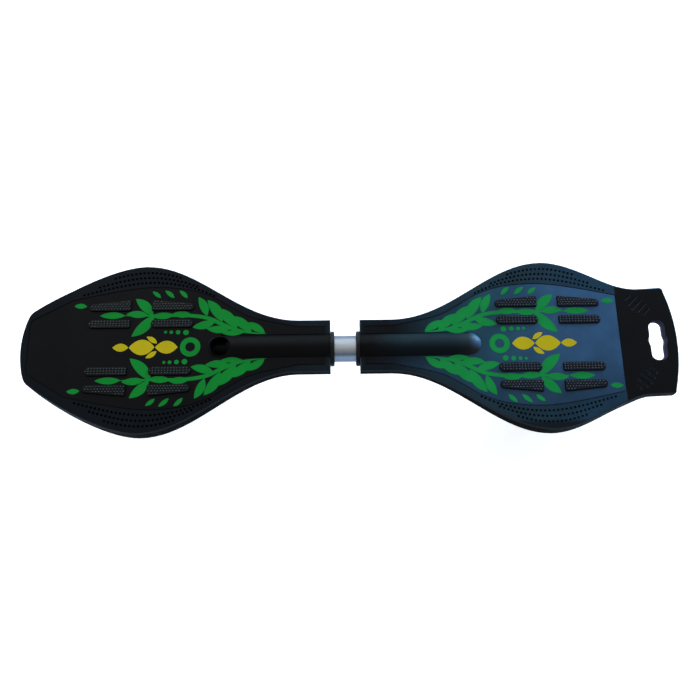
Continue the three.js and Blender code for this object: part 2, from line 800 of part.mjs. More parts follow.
// Torsion spring: straight legs in the plug and the anchor, joined by turns of even pitch
function spring_path() {
  const leg_tip = stub_start + spring_leg - seat_gap;
  const room = 2 * (stub_start - spring_bend);
  const slope = Math.atan(full_turn * spring_radius * spring_turns / room);
  const stations = [[-leg_tip, 0, 0], [-stub_start, 0, 0]];
  const advance = (length, direction) => {
    const [x, angle] = stations.at(-1);
    const next_x = x + length * Math.cos(direction);
    const next_angle = angle + length * Math.sin(direction) / spring_radius;
    stations.push([next_x, next_angle, direction]);
  };
  for (let step = 1; step <= bend_steps; step += 1) {
    advance(spring_bend / bend_steps, slope * step / bend_steps);
  }
  const turn_step = full_turn * spring_radius / Math.sin(slope) / turn_steps;
  const first_x = stations.at(-1)[0];
  const last_x = -first_x;
  while (stations.at(-1)[0] + turn_step * Math.cos(slope) < last_x) {
    advance(turn_step, slope);
  }
  const [x, angle] = stations.at(-1);
  const turned = angle + (last_x - x) * Math.tan(slope) / spring_radius;
  const far_half = stations.slice(0, bend_steps + 2).reverse();
  const total = turned + stations[bend_steps + 1][1];
  const closing = far_half.map(([near_x, near_angle, direction]) => [-near_x, total - near_angle, direction]);
  return [...stations, ...closing];
}

const far_leg_angle = () => spring_path().at(-1)[1];

function torsion_spring() {
  const rings = spring_path().map(([x, angle, direction]) => {
    const outward = at(0, Math.sin(angle), Math.cos(angle));
    const around = at(0, Math.cos(angle), -Math.sin(angle));
    const tangent = at(Math.cos(direction), 0, 0).addScaledVector(around, Math.sin(direction));
    const side = tangent.clone().cross(outward);
    const centre = at(x, 0, 0).addScaledVector(outward, spring_radius);
    return Array.from({ length: wire_sides }, (_, index) => {
      const turn = index * full_turn / wire_sides;
      return centre.clone()
        .addScaledVector(outward, spring_wire_radius * Math.cos(turn))
        .addScaledVector(side, spring_wire_radius * Math.sin(turn));
    });
  });
  const fan = Array.from({ length: wire_sides - 2 }, (_, index) => [0, index + 1, index + 2]);
  return loft(rings, fan);
}

// Caster pieces, in a frame that stands on the swivel axis: z = 0 is the boss's slanted face

const running_bore = king_radius + seat_gap;
const fork_inner = fork_half_width - fork_thickness;
const hex_radius = hex_across / Math.sqrt(3);

function base_plate() {
  const disc = solid_of(rod(plate_radius, plate_bottom, -seat_gap, medium, "z"));
  const heads = Array.from({ length: plate_screws }, (_, index) => {
    const angle = (index + 1 / 2) * full_turn / plate_screws;
    const place = at(plate_screw_circle * Math.cos(angle), plate_screw_circle * Math.sin(angle), 0);
    const head_bottom = plate_bottom - plate_screw_head;
    const socket_top = plate_bottom - plate_screw_head / 2;
    const head = rod(plate_screw_radius, head_bottom, -plate_thickness, small, "z", place);
    const socket = hex_rod(plate_screw_radius, plate_bottom - overrun, socket_top, "z", place);
    return solid_of(head).subtract(solid_of(socket));
  });
  return cut(join([disc, ...heads]), [solid_of(rod(running_bore, -overrun, overrun, coarse, "z"))]);
}

// A race ring whose ball groove opens at one face: face and back are its two faces' heights
function race(face, back) {
  const inward = Math.sign(back - face) * ball_groove;
  const profile = [
    [race_inner_radius, face],
    [ball_circle - ball_radius, face],
    [ball_circle - ball_radius / 2, face + inward],
    [ball_circle + ball_radius / 2, face + inward],
    [ball_circle + ball_radius, face],
    [race_outer_radius, face],
    [race_outer_radius, back],
    [race_inner_radius, back],
  ];
  return revolve(back > face ? profile : profile.reverse(), coarse, "z");
}

function ball_ring() {
  const low = ball_z - cage_half_thickness;
  const high = ball_z + cage_half_thickness;
  const profile = ring_profile(ball_circle - cage_half_width, ball_circle + cage_half_width, low, high);
  const cage = revolve(profile, balls, "z");
  const ball_solids = Array.from({ length: balls }, (_, index) => {
    const angle = index * full_turn / balls;
    const ball = new THREE.SphereGeometry(ball_radius, ball_sides, ball_bands);
    return solid_of(ball.translate(ball_circle * Math.cos(angle), ball_circle * Math.sin(angle), ball_z));
  });
  return join([solid_of(cage), ...ball_solids]);
}

function king_bolt() {
  const head = hex_rod(hex_across, 0, king_head, "z");
  const shank = rod(king_radius, king_end, king_head / 2, coarse, "z");
  return solid_of(head).add(solid_of(shank));
}

function king_nut_piece() {
  const nut = hex_rod(hex_across, nut_bottom, crown_bottom - seat_gap, "z");
  return solid_of(nut).subtract(solid_of(rod(running_bore, nut_bottom - overrun, overrun, coarse, "z")));
}

// A pressed fork: an arch with round shoulders from the front, trimmed to the legs' outline from the side
function fork() {
  const foot = -axle_depth - overrun;
  const inner_shoulder = fork_shoulder - fork_thickness;
  const arch = new THREE.Shape();
  arch.moveTo(-fork_half_width, foot);
  arch.lineTo(-fork_inner, foot);
  arch.lineTo(-fork_inner, crown_bottom - inner_shoulder);
  arch.quadraticCurveTo(-fork_inner, crown_bottom, -fork_inner + inner_shoulder, crown_bottom);
  arch.lineTo(fork_inner - inner_shoulder, crown_bottom);
  arch.quadraticCurveTo(fork_inner, crown_bottom, fork_inner, crown_bottom - inner_shoulder);
  arch.lineTo(fork_inner, foot);
  arch.lineTo(fork_half_width, foot);
  arch.lineTo(fork_half_width, crown_top - fork_shoulder);
  arch.quadraticCurveTo(fork_half_width, crown_top, fork_half_width - fork_shoulder, crown_top);
  arch.lineTo(-fork_half_width + fork_shoulder, crown_top);
  arch.quadraticCurveTo(-fork_half_width, crown_top, -fork_half_width, crown_top - fork_shoulder);
  arch.closePath();
  const length = 2 * (axle_offset + fork_toe_radius + overrun);
  const run = { depth: length, bevelEnabled: false, curveSegments: corner_steps };
  const pressed = new THREE.ExtrudeGeometry(arch, run);
  const forward = new THREE.Matrix4().makeBasis(at(0, 1, 0), at(0, 0, 1), at(1, 0, 0));
  pressed.applyMatrix4(forward).translate(-length / 2, 0, 0);

  const waist = (crown_bottom - axle_depth) / 2;
  const legs = new THREE.Shape();
  legs.moveTo(fork_front, crown_top + overrun);
  legs.lineTo(-fork_front, crown_top + overrun);
  legs.lineTo(-fork_front, crown_bottom);
  legs.quadraticCurveTo(0, waist, axle_offset - fork_toe_radius, -axle_depth);
  legs.absarc(axle_offset, -axle_depth, fork_toe_radius, half_turn, full_turn, false);
  legs.quadraticCurveTo(axle_offset + fork_toe_radius, waist, fork_front, crown_bottom);
  legs.closePath();
  const width = 2 * fork_half_width + overrun;
  const across = { depth: width, bevelEnabled: false, curveSegments: side_steps };
  const outline = new THREE.ExtrudeGeometry(legs, across);
  const sideways = new THREE.Matrix4().makeBasis(at(1, 0, 0), at(0, 0, 1), at(0, -1, 0));
  outline.applyMatrix4(sideways).translate(0, width / 2, 0);

  const solid = solid_of(pressed).intersect(solid_of(outline));
  const swivel = rod(running_bore, crown_bottom - overrun, overrun, coarse, "z");
  const axle = rod(bearing_bore, -width, width, coarse, "y", at(axle_offset, 0, -axle_depth));
  return cut(solid, [solid_of(swivel), solid_of(axle)]);
}

// Wheel set, in a frame that stands on the axle and turns about Y

const outer_face = fork_half_width + seat_gap;
const bearing_inner = wheel_half_width - bearing_width;
const tyre_inner_radius = wheel_radius - tyre_thickness;

function axle_bolt() {
  const head = hex_rod(axle_hex_across, -outer_face - axle_head, -outer_face, "y");
  const tip = outer_face + axle_head + 4 * seat_gap;
  const shank = rod(axle_radius, -outer_face - axle_head / 2, tip, coarse, "y");
  return solid_of(head).add(solid_of(shank));
}

function axle_nut() {
  const nut = hex_rod(axle_hex_across, outer_face, outer_face + axle_head, "y");
  return solid_of(nut).subtract(solid_of(rod(bearing_bore, 0, 2 * outer_face, coarse, "y")));
}

const spacer = (low, high) => revolve(ring_profile(bearing_bore, spacer_radius, low, high), coarse, "y");

function axle_spacer(sign) {
  const near = sign * (wheel_half_width + seat_gap);
  const far = sign * (fork_inner - seat_gap);
  return spacer(Math.min(near, far), Math.max(near, far));
}

const bearing_spacer = () => spacer(seat_gap - bearing_inner, bearing_inner - seat_gap);

// A shielded ball bearing: the shield lies a little below the outer face of the rings
function bearing(sign) {
  const middle = sign * (wheel_half_width - bearing_width / 2);
  const half = bearing_width / 2;
  const ring = (bearing_radius - bearing_bore) / 4;
  const shield = half - 2 * seat_gap;
  const profile = [
    [bearing_bore, -half],
    [bearing_radius, -half],
    [bearing_radius, half],
    [bearing_radius - ring, half],
    [bearing_radius - ring, shield],
    [bearing_bore + ring, shield],
    [bearing_bore + ring, half],
    [bearing_bore, half],
  ];
  const placed_profile = profile.map(([radius, along]) => [radius, sign * along + middle]);
  return revolve(sign > 0 ? placed_profile : placed_profile.reverse(), coarse, "y");
}

function tyre() {
  const flat = wheel_half_width / 3;
  const side = wheel_radius - tyre_shoulder;
  return revolve([
    [tyre_inner_radius, -wheel_half_width],
    [side, -wheel_half_width],
    [wheel_radius - tyre_crown, flat - wheel_half_width + tyre_crown],
    [wheel_radius, -flat],
    [wheel_radius, flat],
    [wheel_radius - tyre_crown, wheel_half_width - flat - tyre_crown],
    [side, wheel_half_width],
    [tyre_inner_radius, wheel_half_width],
  ], fine, "y");
}

function hub() {
  const seat = bearing_radius + seat_gap;
  const boss = seat + hub_boss_wall;
  const rim_out = tyre_inner_radius - seat_gap;
  const rim_in = rim_out - hub_rim;
  const stop = bearing_inner - seat_gap;
  const shoulder = seat - hub_boss_wall / 2;
  const half_profile = [
    [shoulder, -stop],
    [seat, -stop],
    [seat, -wheel_half_width],
    [boss, -wheel_half_width],
    [boss, -hub_web],
    [rim_in, -hub_web],
    [rim_in, -wheel_half_width],
    [rim_out, -wheel_half_width],
  ];
  const mirrored = half_profile.map(([radius, along]) => [radius, -along]).reverse();
  const circle = (boss + rim_in) / 2;
  const window_radius = hub_window_share * (rim_in - boss) / 2;
  const windows = Array.from({ length: hub_windows }, (_, index) => {
    const angle = index * full_turn / hub_windows;
    const place = at(circle * Math.cos(angle), 0, circle * Math.sin(angle));
    return solid_of(rod(window_radius, -wheel_half_width, wheel_half_width, side_steps, "y", place));
  });
  return cut(solid_of(revolve([...half_profile, ...mirrored], hub_sides, "y")), windows);
}

// Assembly

function piece(name, shape, material) {
  const geometry = shape.isBufferGeometry ? shape : geometry_of(shape);
  const mesh = new THREE.Mesh(geometry, material);
  mesh.name = name;
  return mesh;
}

function placed(place, pieces) {
  const group = new THREE.Group();
  group.position.copy(place);
  group.add(...pieces);
  return group;
}

function caster(end) {
  const wheel_set = placed(at(axle_offset, 0, -axle_depth), [
    piece(`${end}_axle_bolt`, axle_bolt(), zinc_steel),
    piece(`${end}_axle_nut`, axle_nut(), zinc_steel),
    piece(`${end}_left_axle_spacer`, axle_spacer(-1), zinc_steel),
    piece(`${end}_right_axle_spacer`, axle_spacer(1), zinc_steel),
    piece(`${end}_bearing_spacer`, bearing_spacer(), tube_aluminium),
    piece(`${end}_left_bearing`, bearing(-1), bearing_steel),
    piece(`${end}_right_bearing`, bearing(1), bearing_steel),
    piece(`${end}_tyre`, tyre(), wheel_urethane),
    piece(`${end}_hub`, hub(), hub_nylon),
  ]);
  return [
    piece(`${end}_base_plate`, base_plate(), zinc_steel),
    piece(`${end}_upper_race`, race(upper_race_bottom, plate_bottom - seat_gap), bearing_steel),
    piece(`${end}_ball_ring`, ball_ring(), bearing_steel),
    piece(`${end}_lower_race`, race(lower_race_top, lower_race_top - race_thickness), bearing_steel),
    piece(`${end}_king_bolt`, king_bolt(), zinc_steel),
    piece(`${end}_king_nut`, king_nut_piece(), zinc_steel),
    piece(`${end}_fork`, fork(), zinc_steel),
    wheel_set,
  ];
}

function leaning_caster(end, x) {
  const group = placed(at(x, 0, base_z), caster(end));
  group.rotation.y = -caster_lean;
  return group;
}

// Left and right are those of someone who rides towards the nose
const deck_pads = (end, left_sign, kick) => pad_places.map(([name, sign]) =>
  piece(`${end}_${sign === left_sign ? "left" : "right"}_${name}_pad`, pad(name, sign, kick), grip_rubber));

const on_axis = (x) => at(x, 0, axis_z);
const lock_screw = () => screw_from_below(lock_screw_radius, lock_screw_reach - tube_radius);
const anchor_screw = () => screw_from_below(anchor_bolt_radius, bolt_bite - tube_radius + seat_gap);

const front_half = placed(at(0, 0, 0), [
  piece("front_deck", front_deck(), deck_black),
  ...deck_pads("front", 1, nose_kick),
  placed(on_axis(0), [
    piece("front_collar", collar(), moulded_nylon),
    piece("front_plug", front_plug(), moulded_nylon),
  ]),
  placed(on_axis(lock_screw_at), [
    piece("tube_lock_screw", lock_screw(), zinc_steel),
  ]),
  placed(on_axis(ridge_centre), [
    piece("plug_bolt", screw_from_below(plug_bolt_radius, bolt_bite), zinc_steel),
  ]),
]);
front_half.rotation.z = half_turn;

const rear_half = placed(at(0, 0, 0), [
  piece("rear_deck", rear_deck(), deck_slate),
  ...deck_pads("rear", -1, tail_kick),
  placed(on_axis(0), [
    piece("rear_collar", collar(), moulded_nylon),
    piece("rear_anchor", rear_anchor(), moulded_nylon),
  ]),
  placed(on_axis(lock_screw_at), [
    piece("twist_stop_screw", lock_screw(), zinc_steel),
  ]),
  placed(on_axis(anchor_screw_at), [
    piece("anchor_bolt", anchor_screw(), zinc_steel),
  ]),
]);

const board = placed(at(gap_x, 0, 0), [
  front_half,
  rear_half,
  placed(on_axis(0), [
    piece("torsion_tube", torsion_tube(), tube_aluminium),
    piece("torsion_spring", torsion_spring(), spring_steel),
  ]),
  leaning_caster("front", -caster_at),
  leaning_caster("rear", caster_at),
]);

export default board;
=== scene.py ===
"""Dresses the caster board for its photograph: decks, grip pads, print, torsion joint and casters."""

from __future__ import annotations

import logging
import math
from collections.abc import Callable, Iterable, Sequence
from dataclasses import dataclass, field, replace
from enum import Enum, IntEnum

import bmesh
import bpy
from mathutils import Matrix, Vector
from mathutils.geometry import interpolate_bezier

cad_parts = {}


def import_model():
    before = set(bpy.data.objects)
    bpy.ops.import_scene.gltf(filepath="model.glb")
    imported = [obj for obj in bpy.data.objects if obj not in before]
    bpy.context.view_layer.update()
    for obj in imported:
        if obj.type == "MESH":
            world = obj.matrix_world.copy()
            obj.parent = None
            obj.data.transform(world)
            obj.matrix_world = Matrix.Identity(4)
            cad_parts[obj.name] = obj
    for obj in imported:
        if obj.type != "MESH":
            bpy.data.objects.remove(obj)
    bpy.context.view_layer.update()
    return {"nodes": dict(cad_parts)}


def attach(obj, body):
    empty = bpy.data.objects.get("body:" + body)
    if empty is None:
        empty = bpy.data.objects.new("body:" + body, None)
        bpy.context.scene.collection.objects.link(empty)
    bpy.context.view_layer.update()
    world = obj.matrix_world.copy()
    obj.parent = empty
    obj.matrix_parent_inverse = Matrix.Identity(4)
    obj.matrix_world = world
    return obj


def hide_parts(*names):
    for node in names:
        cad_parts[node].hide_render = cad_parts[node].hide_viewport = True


log = logging.getLogger("caster_board")

MM = 0.001
BEYOND = 1.0  # reaches past every piece
OVERCUT = 1 * MM  # how far a cutter stands out of what it cuts
SAME_PLACE = 0.01 * MM
HALF_TURN = math.pi
FULL_TURN = 2 * math.pi
QUARTER_TURN = math.pi / 2
MOST_CORNERS = 40  # a face with more is split before it is merged
ROUND_PULL = 0.55  # how far a handle leans to the corner for a nearly round arc
LEVEL = 0.985  # the upward share of a normal from which a face counts as level

Plan = Sequence[Vector]


class Axis(Enum):
    """An axis that a piece is turned about."""

    X = Vector((1, 0, 0))
    Y = Vector((0, 1, 0))
    Z = Vector((0, 0, 1))

    def place(self, radius: float, along: float) -> Vector:
        """Gives the point of a profile at a radius and a place along the axis.

        Args:
            radius: Distance from the axis.
            along: Place along the axis.

        Returns:
            The point in the plane that the profile is drawn in.
        """
        if self is Axis.X:
            return Vector((along, 0, radius))
        if self is Axis.Y:
            return Vector((radius, along, 0))
        return Vector((radius, 0, along))

    def upright(self) -> Matrix:
        """Gives the turn that brings +Z onto this axis."""
        return Vector((0, 0, 1)).rotation_difference(self.value).to_matrix().to_4x4()


class Merge(Enum):
    """How two closed forms are put together."""

    UNION = "UNION"
    DIFFERENCE = "DIFFERENCE"
    INTERSECT = "INTERSECT"


class End(Enum):
    """The two ends of the board."""

    FRONT = "front"
    REAR = "rear"

    @property
    def trail(self) -> int:
        """Gives the way a caster trails along a deck drawn from the gap outwards."""
        return -1 if self is End.FRONT else 1


def shown(name: str, data: bpy.types.ID) -> bpy.types.Object:
    """Puts a mesh, a lamp or a camera into the scene.

    Args:
        name: The new object's name.
        data: What it holds.

    Returns:
        The object, at the origin.
    """
    holder = bpy.data.objects.new(name, data)
    bpy.context.scene.collection.objects.link(holder)
    return holder


class Form:
    """A closed mesh in the making, shaped by bmesh operators."""

    def __init__(self) -> None:
        """Starts with no vertices."""
        self.mesh = bmesh.new()

    @classmethod
    def slab(cls, ring: Plan, low: float, high: float, inset: float = 0.0) -> Form:
        """Extrudes a plan outline upwards.

        Args:
            ring: The outline's points, anticlockwise from above.
            low: Height of the underside.
            high: Height of the top.
            inset: How far the outline is first drawn in, or out if negative.

        Returns:
            The closed slab.
        """
        form = cls()
        corners = [form.mesh.verts.new((point.x, point.y, low)) for point in drawn_in(ring, inset)]
        form.mesh.faces.new(corners)
        risen = bmesh.ops.extrude_face_region(form.mesh, geom=form.mesh.faces[:])["geom"]
        lifted = [item for item in risen if isinstance(item, bmesh.types.BMVert)]
        bmesh.ops.translate(form.mesh, verts=lifted, vec=(0, 0, high - low))
        return form.faced_outwards()

    @classmethod
    def rod(cls, radius: float, low: float, high: float, axis: Axis, sides: int,
            through: Vector | None = None, tip: float | None = None) -> Form:
        """Makes a round or many-sided rod, or a cone if it has a tip radius.

        Args:
            radius: Radius at the low end, to the corners.
            low: Place of the low end along the axis.
            high: Place of the high end along the axis.
            axis: The axis that the rod runs along.
            sides: Number of sides.
            through: A point on the rod's axis.
            tip: Radius at the high end, the same if left out.

        Returns:
            The closed rod.
        """
        form = cls()
        lift = Matrix.Translation((0, 0, (low + high) / 2))
        bmesh.ops.create_cone(
            form.mesh,
            cap_ends=True,
            segments=sides,
            radius1=radius,
            radius2=radius if tip is None else tip,
            depth=high - low,
            matrix=Matrix.Translation(through or Vector()) @ axis.upright() @ lift,
        )
        return form

    @classmethod
    def turned(cls, profile: Sequence[tuple[float, float]], axis: Axis, steps: int,
               edge: float = 0.0, edge_steps: int = 2) -> Form:
        """Turns a closed profile about an axis.

        Args:
            profile: Corners as radius and place along the axis.
            axis: The axis that it turns about.
            steps: Steps in the full turn.
            edge: Radius that each corner of the profile is eased by.
            edge_steps: Edges in each eased corner.

        Returns:
            The closed turned form.
        """
        form = cls()
        corners = [form.mesh.verts.new(axis.place(radius, along)) for radius, along in profile]
        face = form.mesh.faces.new(corners)
        if edge:
            bmesh.ops.bevel(
                form.mesh, geom=form.mesh.verts[:], affect="VERTICES", offset=edge, offset_type="OFFSET",
                segments=edge_steps, profile=0.5, material=-1, clamp_overlap=True,
            )
            form.mesh.faces.ensure_lookup_table()
            face = form.mesh.faces[0]
        bmesh.ops.delete(form.mesh, geom=[face], context="FACES_ONLY")
        bmesh.ops.spin(
            form.mesh, geom=form.mesh.verts[:] + form.mesh.edges[:], cent=(0, 0, 0), axis=axis.value,
            angle=FULL_TURN, steps=steps, use_merge=True,
        )
        return form.faced_outwards()

    @classmethod
    def balls(cls, centres: Iterable[Vector], radius: float, detail: int = 1) -> Form:
        """Makes equal round balls.

        Args:
            centres: Where the balls are.
            radius: Their radius.
            detail: How often each is subdivided.

        Returns:
            One form that holds all of them.
        """
        form = cls()
        for centre in centres:
            bmesh.ops.create_icosphere(
                form.mesh, subdivisions=detail, radius=radius, matrix=Matrix.Translation(centre))
        return form

    @classmethod
    def block(cls, low: Vector, high: Vector) -> Form:
        """Makes a block.

        Args:
            low: Its lowest corner.
            high: The corner across from it.

        Returns:
            The closed block.
        """
        form = cls()
        place = Matrix.Translation((low + high) / 2) @ Matrix.Diagonal((*(high - low), 1))
        bmesh.ops.create_cube(form.mesh, size=1, matrix=place)
        return form

    @classmethod
    def gathered(cls, forms: Iterable[Form]) -> Form:
        """Puts several forms into one without merging their surfaces.

        Args:
            forms: Forms that don't touch each other.

        Returns:
            One form that holds all of them.
        """
        whole = cls()
        for form in forms:
            mesh = bpy.data.meshes.new("gathered")
            form.mesh.to_mesh(mesh)
            whole.mesh.from_mesh(mesh)
            bpy.data.meshes.remove(mesh)
        return whole

    def faced_outwards(self) -> Form:
        """Turns all faces outwards and returns the form."""
        bmesh.ops.recalc_face_normals(self.mesh, faces=self.mesh.faces[:])
        return self

    def moved(self, matrix: Matrix) -> Form:
        """Moves the form by a matrix and returns it."""
        bmesh.ops.transform(self.mesh, matrix=matrix, verts=self.mesh.verts[:])
        return self

    def mirrored(self) -> Form:
        """Gives a copy on the other side of the board's long axis, its faces outwards."""
        twin = Form()
        twin.mesh = self.mesh.copy()
        twin.moved(Matrix.Scale(-1, 4, Axis.Y.value))
        bmesh.ops.reverse_faces(twin.mesh, faces=twin.mesh.faces[:])
        return twin

    def on_both_sides(self) -> Form:
        """Gives the form and its mirrored copy as one."""
        return Form.gathered([self, self.mirrored()])

    def softened(self, width: float, segments: int = 2, angle_deg: float = 35.0,
                 where: Callable[[Vector], bool] | None = None) -> Form:
        """Rounds the sharp edges.

        Args:
            width: How far the rounding reaches from an edge.
            segments: Faces across each rounding.
            angle_deg: Edges that turn by more than this are rounded.
            where: Tells whether an edge with this middle is rounded, all if left out.

        Returns:
            The same form.
        """
        limit = math.radians(angle_deg)
        edges = []
        for edge in self.mesh.edges:
            sharp = edge.is_manifold and edge.calc_face_angle(0.0) > limit
            middle = (edge.verts[0].co + edge.verts[1].co) / 2
            if sharp and (where is None or where(middle)):
                edges.append(edge)
        if edges:
            bmesh.ops.bevel(
                self.mesh, geom=edges, affect="EDGES", offset=width, offset_type="OFFSET",
                segments=segments, profile=0.5, material=-1, clamp_overlap=True,
            )
        return self

    def merged(self, other: Form, merge: Merge) -> Form:
        """Joins, cuts or trims this form with another.

        Args:
            other: The other closed form.
            merge: What is done with it.

        Returns:
            The resulting form.
        """
        holders = []
        for name, form in (("base", self), ("tool", other)):
            many_sided = [face for face in form.mesh.faces if len(face.verts) > MOST_CORNERS]
            bmesh.ops.triangulate(form.mesh, faces=many_sided)
            mesh = bpy.data.meshes.new(name)
            form.mesh.to_mesh(mesh)
            holders.append(shown(name, mesh))
        base, tool = holders
        modifier = base.modifiers.new("merge", "BOOLEAN")
        modifier.operation = merge.value
        modifier.solver = "MANIFOLD"
        modifier.object = tool
        graph = bpy.context.evaluated_depsgraph_get()
        mesh = bpy.data.meshes.new_from_object(base.evaluated_get(graph))
        result = Form()
        result.mesh.from_mesh(mesh)
        for used in (mesh, *(holder.data for holder in holders)):
            bpy.data.meshes.remove(used)
        if not result.mesh.faces:
            raise ValueError(f"{merge.value} left nothing")
        return result

    def joined(self, *others: Form) -> Form:
        """Joins this form with others.

        Args:
            others: The other forms, joined in order.

        Returns:
            The whole.
        """
        whole = self
        for other in others:
            whole = whole.merged(other, Merge.UNION)
        return whole

    def cut(self, *tools: Form) -> Form:
        """Cuts others away from this form.

        Args:
            tools: The forms that are cut away in order.

        Returns:
            What is left.
        """
        left = self
        for tool in tools:
            left = left.merged(tool, Merge.DIFFERENCE)
        return left

    def within(self, bounds: Form) -> Form:
        """Gives the share of this form that lies inside another."""
        return self.merged(bounds, Merge.INTERSECT)


def drawn_in(ring: Plan, inset: float) -> list[Vector]:
    """Draws an outline in by an even distance, or out if the distance is negative.

    Args:
        ring: The outline's points, anticlockwise.
        inset: The distance.

    Returns:
        The new outline, point for point.
    """
    if not inset:
        return [point.copy() for point in ring]
    result = []
    for index, point in enumerate(ring):
        before = (point - ring[index - 1]).normalized()
        after = (ring[(index + 1) % len(ring)] - point).normalized()
        along = (before + after).normalized()
        inward = Vector((-along.y, along.x, 0))
        stretch = max(0.5, inward.dot(Vector((-after.y, after.x, 0))))
        result.append(point + inward * (inset / stretch))
    return result


def lies_inside(ring: Plan, point: Vector) -> bool:
    """Tells whether a point lies inside an outline that bulges everywhere."""
    pairs = zip(ring, [*ring[1:], ring[0]], strict=True)
    return all((end - start).cross(point - start).z > 0 for start, end in pairs)


def rounded(corners: Plan, radii: Sequence[float], steps: int) -> list[Vector]:
    """Rounds the corners of a plan outline.

    Args:
        corners: The sharp corners in order.
        radii: The radius of each.
        steps: Edges in each rounded corner.

    Returns:
        The outline's points.
    """
    ring: list[Vector] = []
    for index, (corner, radius) in enumerate(zip(corners, radii, strict=True)):
        before = (corners[index - 1] - corner).normalized() * radius + corner
        after = (corners[(index + 1) % len(corners)] - corner).normalized() * radius + corner
        handles = before.lerp(corner, ROUND_PULL), after.lerp(corner, ROUND_PULL)
        arc = interpolate_bezier(before, *handles, after, steps + 1)
        ring.extend(point for point in arc if not ring or (point - ring[-1]).length > SAME_PLACE)
    if (ring[0] - ring[-1]).length < SAME_PLACE:
        ring.pop()
    return ring


def flat(x: float, y: float) -> Vector:
    """Gives a point in plan, in metres, from millimetres."""
    return Vector((x * MM, y * MM, 0.0))


def swept(points: Sequence[tuple[float, float]], steps: int) -> list[Vector]:
    """Gives the points of a chain of cubic curves.

    Args:
        points: A start, then two handles and an end for each curve, in millimetres.
        steps: Edges in each curve.

    Returns:
        The points in order, with the start and the end.
    """
    places = [flat(*point) for point in points]
    path = [places[0]]
    for index in range(0, len(places) - 1, 3):
        path.extend(interpolate_bezier(*places[index:index + 4], steps + 1)[1:])
    return path


def smooth_share(x: float, start: float, end: float) -> float:
    """Gives how far a place lies between two others, from 0 to 1 with soft ends."""
    share = min(1.0, max(0.0, (x - start) / (end - start)))
    return share * share * (3 - 2 * share)


def height_at(path: Plan, x: float) -> float:
    """Gives how far across a path lies.

    Args:
        path: The path's points, in order along X.
        x: The place along X.

    Returns:
        The path's place along Y.

    Raises:
        ValueError: If the path doesn't reach that place.
    """
    for start, end in zip(path, path[1:], strict=False):
        if start.x <= x <= end.x and end.x > start.x:
            return start.lerp(end, (x - start.x) / (end.x - start.x)).y
    raise ValueError(f"the path doesn't reach {x}")


def stations(path: Plan, pitch: float) -> list[Vector]:
    """Walks along a path and stops at an even pitch.

    Args:
        path: The path's points.
        pitch: Distance between two stops.

    Returns:
        The stops.
    """
    stops = [path[0].copy()]
    left = pitch
    for start, end in zip(path, path[1:], strict=False):
        run = (end - start).length
        while run >= left:
            start = start.lerp(end, left / run)
            stops.append(start.copy())
            run -= left
            left = pitch
        left -= run
    return stops


# Finishes


Colour = tuple[float, float, float]
Socket = bpy.types.NodeSocket


class Graph:
    """Nodes and links of a material or of the world in the making."""

    def __init__(self, tree: bpy.types.NodeTree) -> None:
        """Starts from the nodes that a new material or world has."""
        self.tree = tree

    def node(self, kind: str, **inputs: object) -> bpy.types.Node:
        """Adds a node.

        Args:
            kind: Its type, without the leading ShaderNode.
            inputs: Its inputs' names, with _ for a space, and what each is fed.

        Returns:
            The node.
        """
        node = self.tree.nodes.new(f"ShaderNode{kind}")
        for name, value in inputs.items():
            self.feed(node.inputs[name.replace("_", " ")], value)
        return node

    def feed(self, target: Socket, value: object) -> None:
        """Feeds an input with another node's output or with a plain value.

        Args:
            target: The input.
            value: A socket, a number, or a colour's three parts.
        """
        if isinstance(value, bpy.types.NodeSocket):
            self.tree.links.new(value, target)
        elif target.type == "RGBA":
            target.default_value = (*value, 1)
        else:
            target.default_value = value

    def blended(self, share: Socket, first: Colour | Socket, second: Colour | Socket) -> Socket:
        """Mixes two colours.

        Args:
            share: How much of the second there is.
            first: A colour or a socket.
            second: A colour or a socket.

        Returns:
            The mixed colour.
        """
        node = self.node("Mix")
        node.data_type = "RGBA"
        for name, value in (("Factor", share), ("A", first), ("B", second)):
            self.feed(node.inputs[name], value)
        return node.outputs["Result"]

    def spread(self, value: Socket, start: float, end: float, low: float = 0.0, high: float = 1.0) -> Socket:
        """Spreads the values from start to end over the range from low to high."""
        node = self.node("MapRange", Value=value, From_Min=start, From_Max=end, To_Min=low, To_Max=high)
        return node.outputs["Result"]


@dataclass(frozen=True)
class Band:
    """A stretch along an axis over which one colour turns into the next."""

    axis: Axis
    start: float
    end: float
    colour: Colour


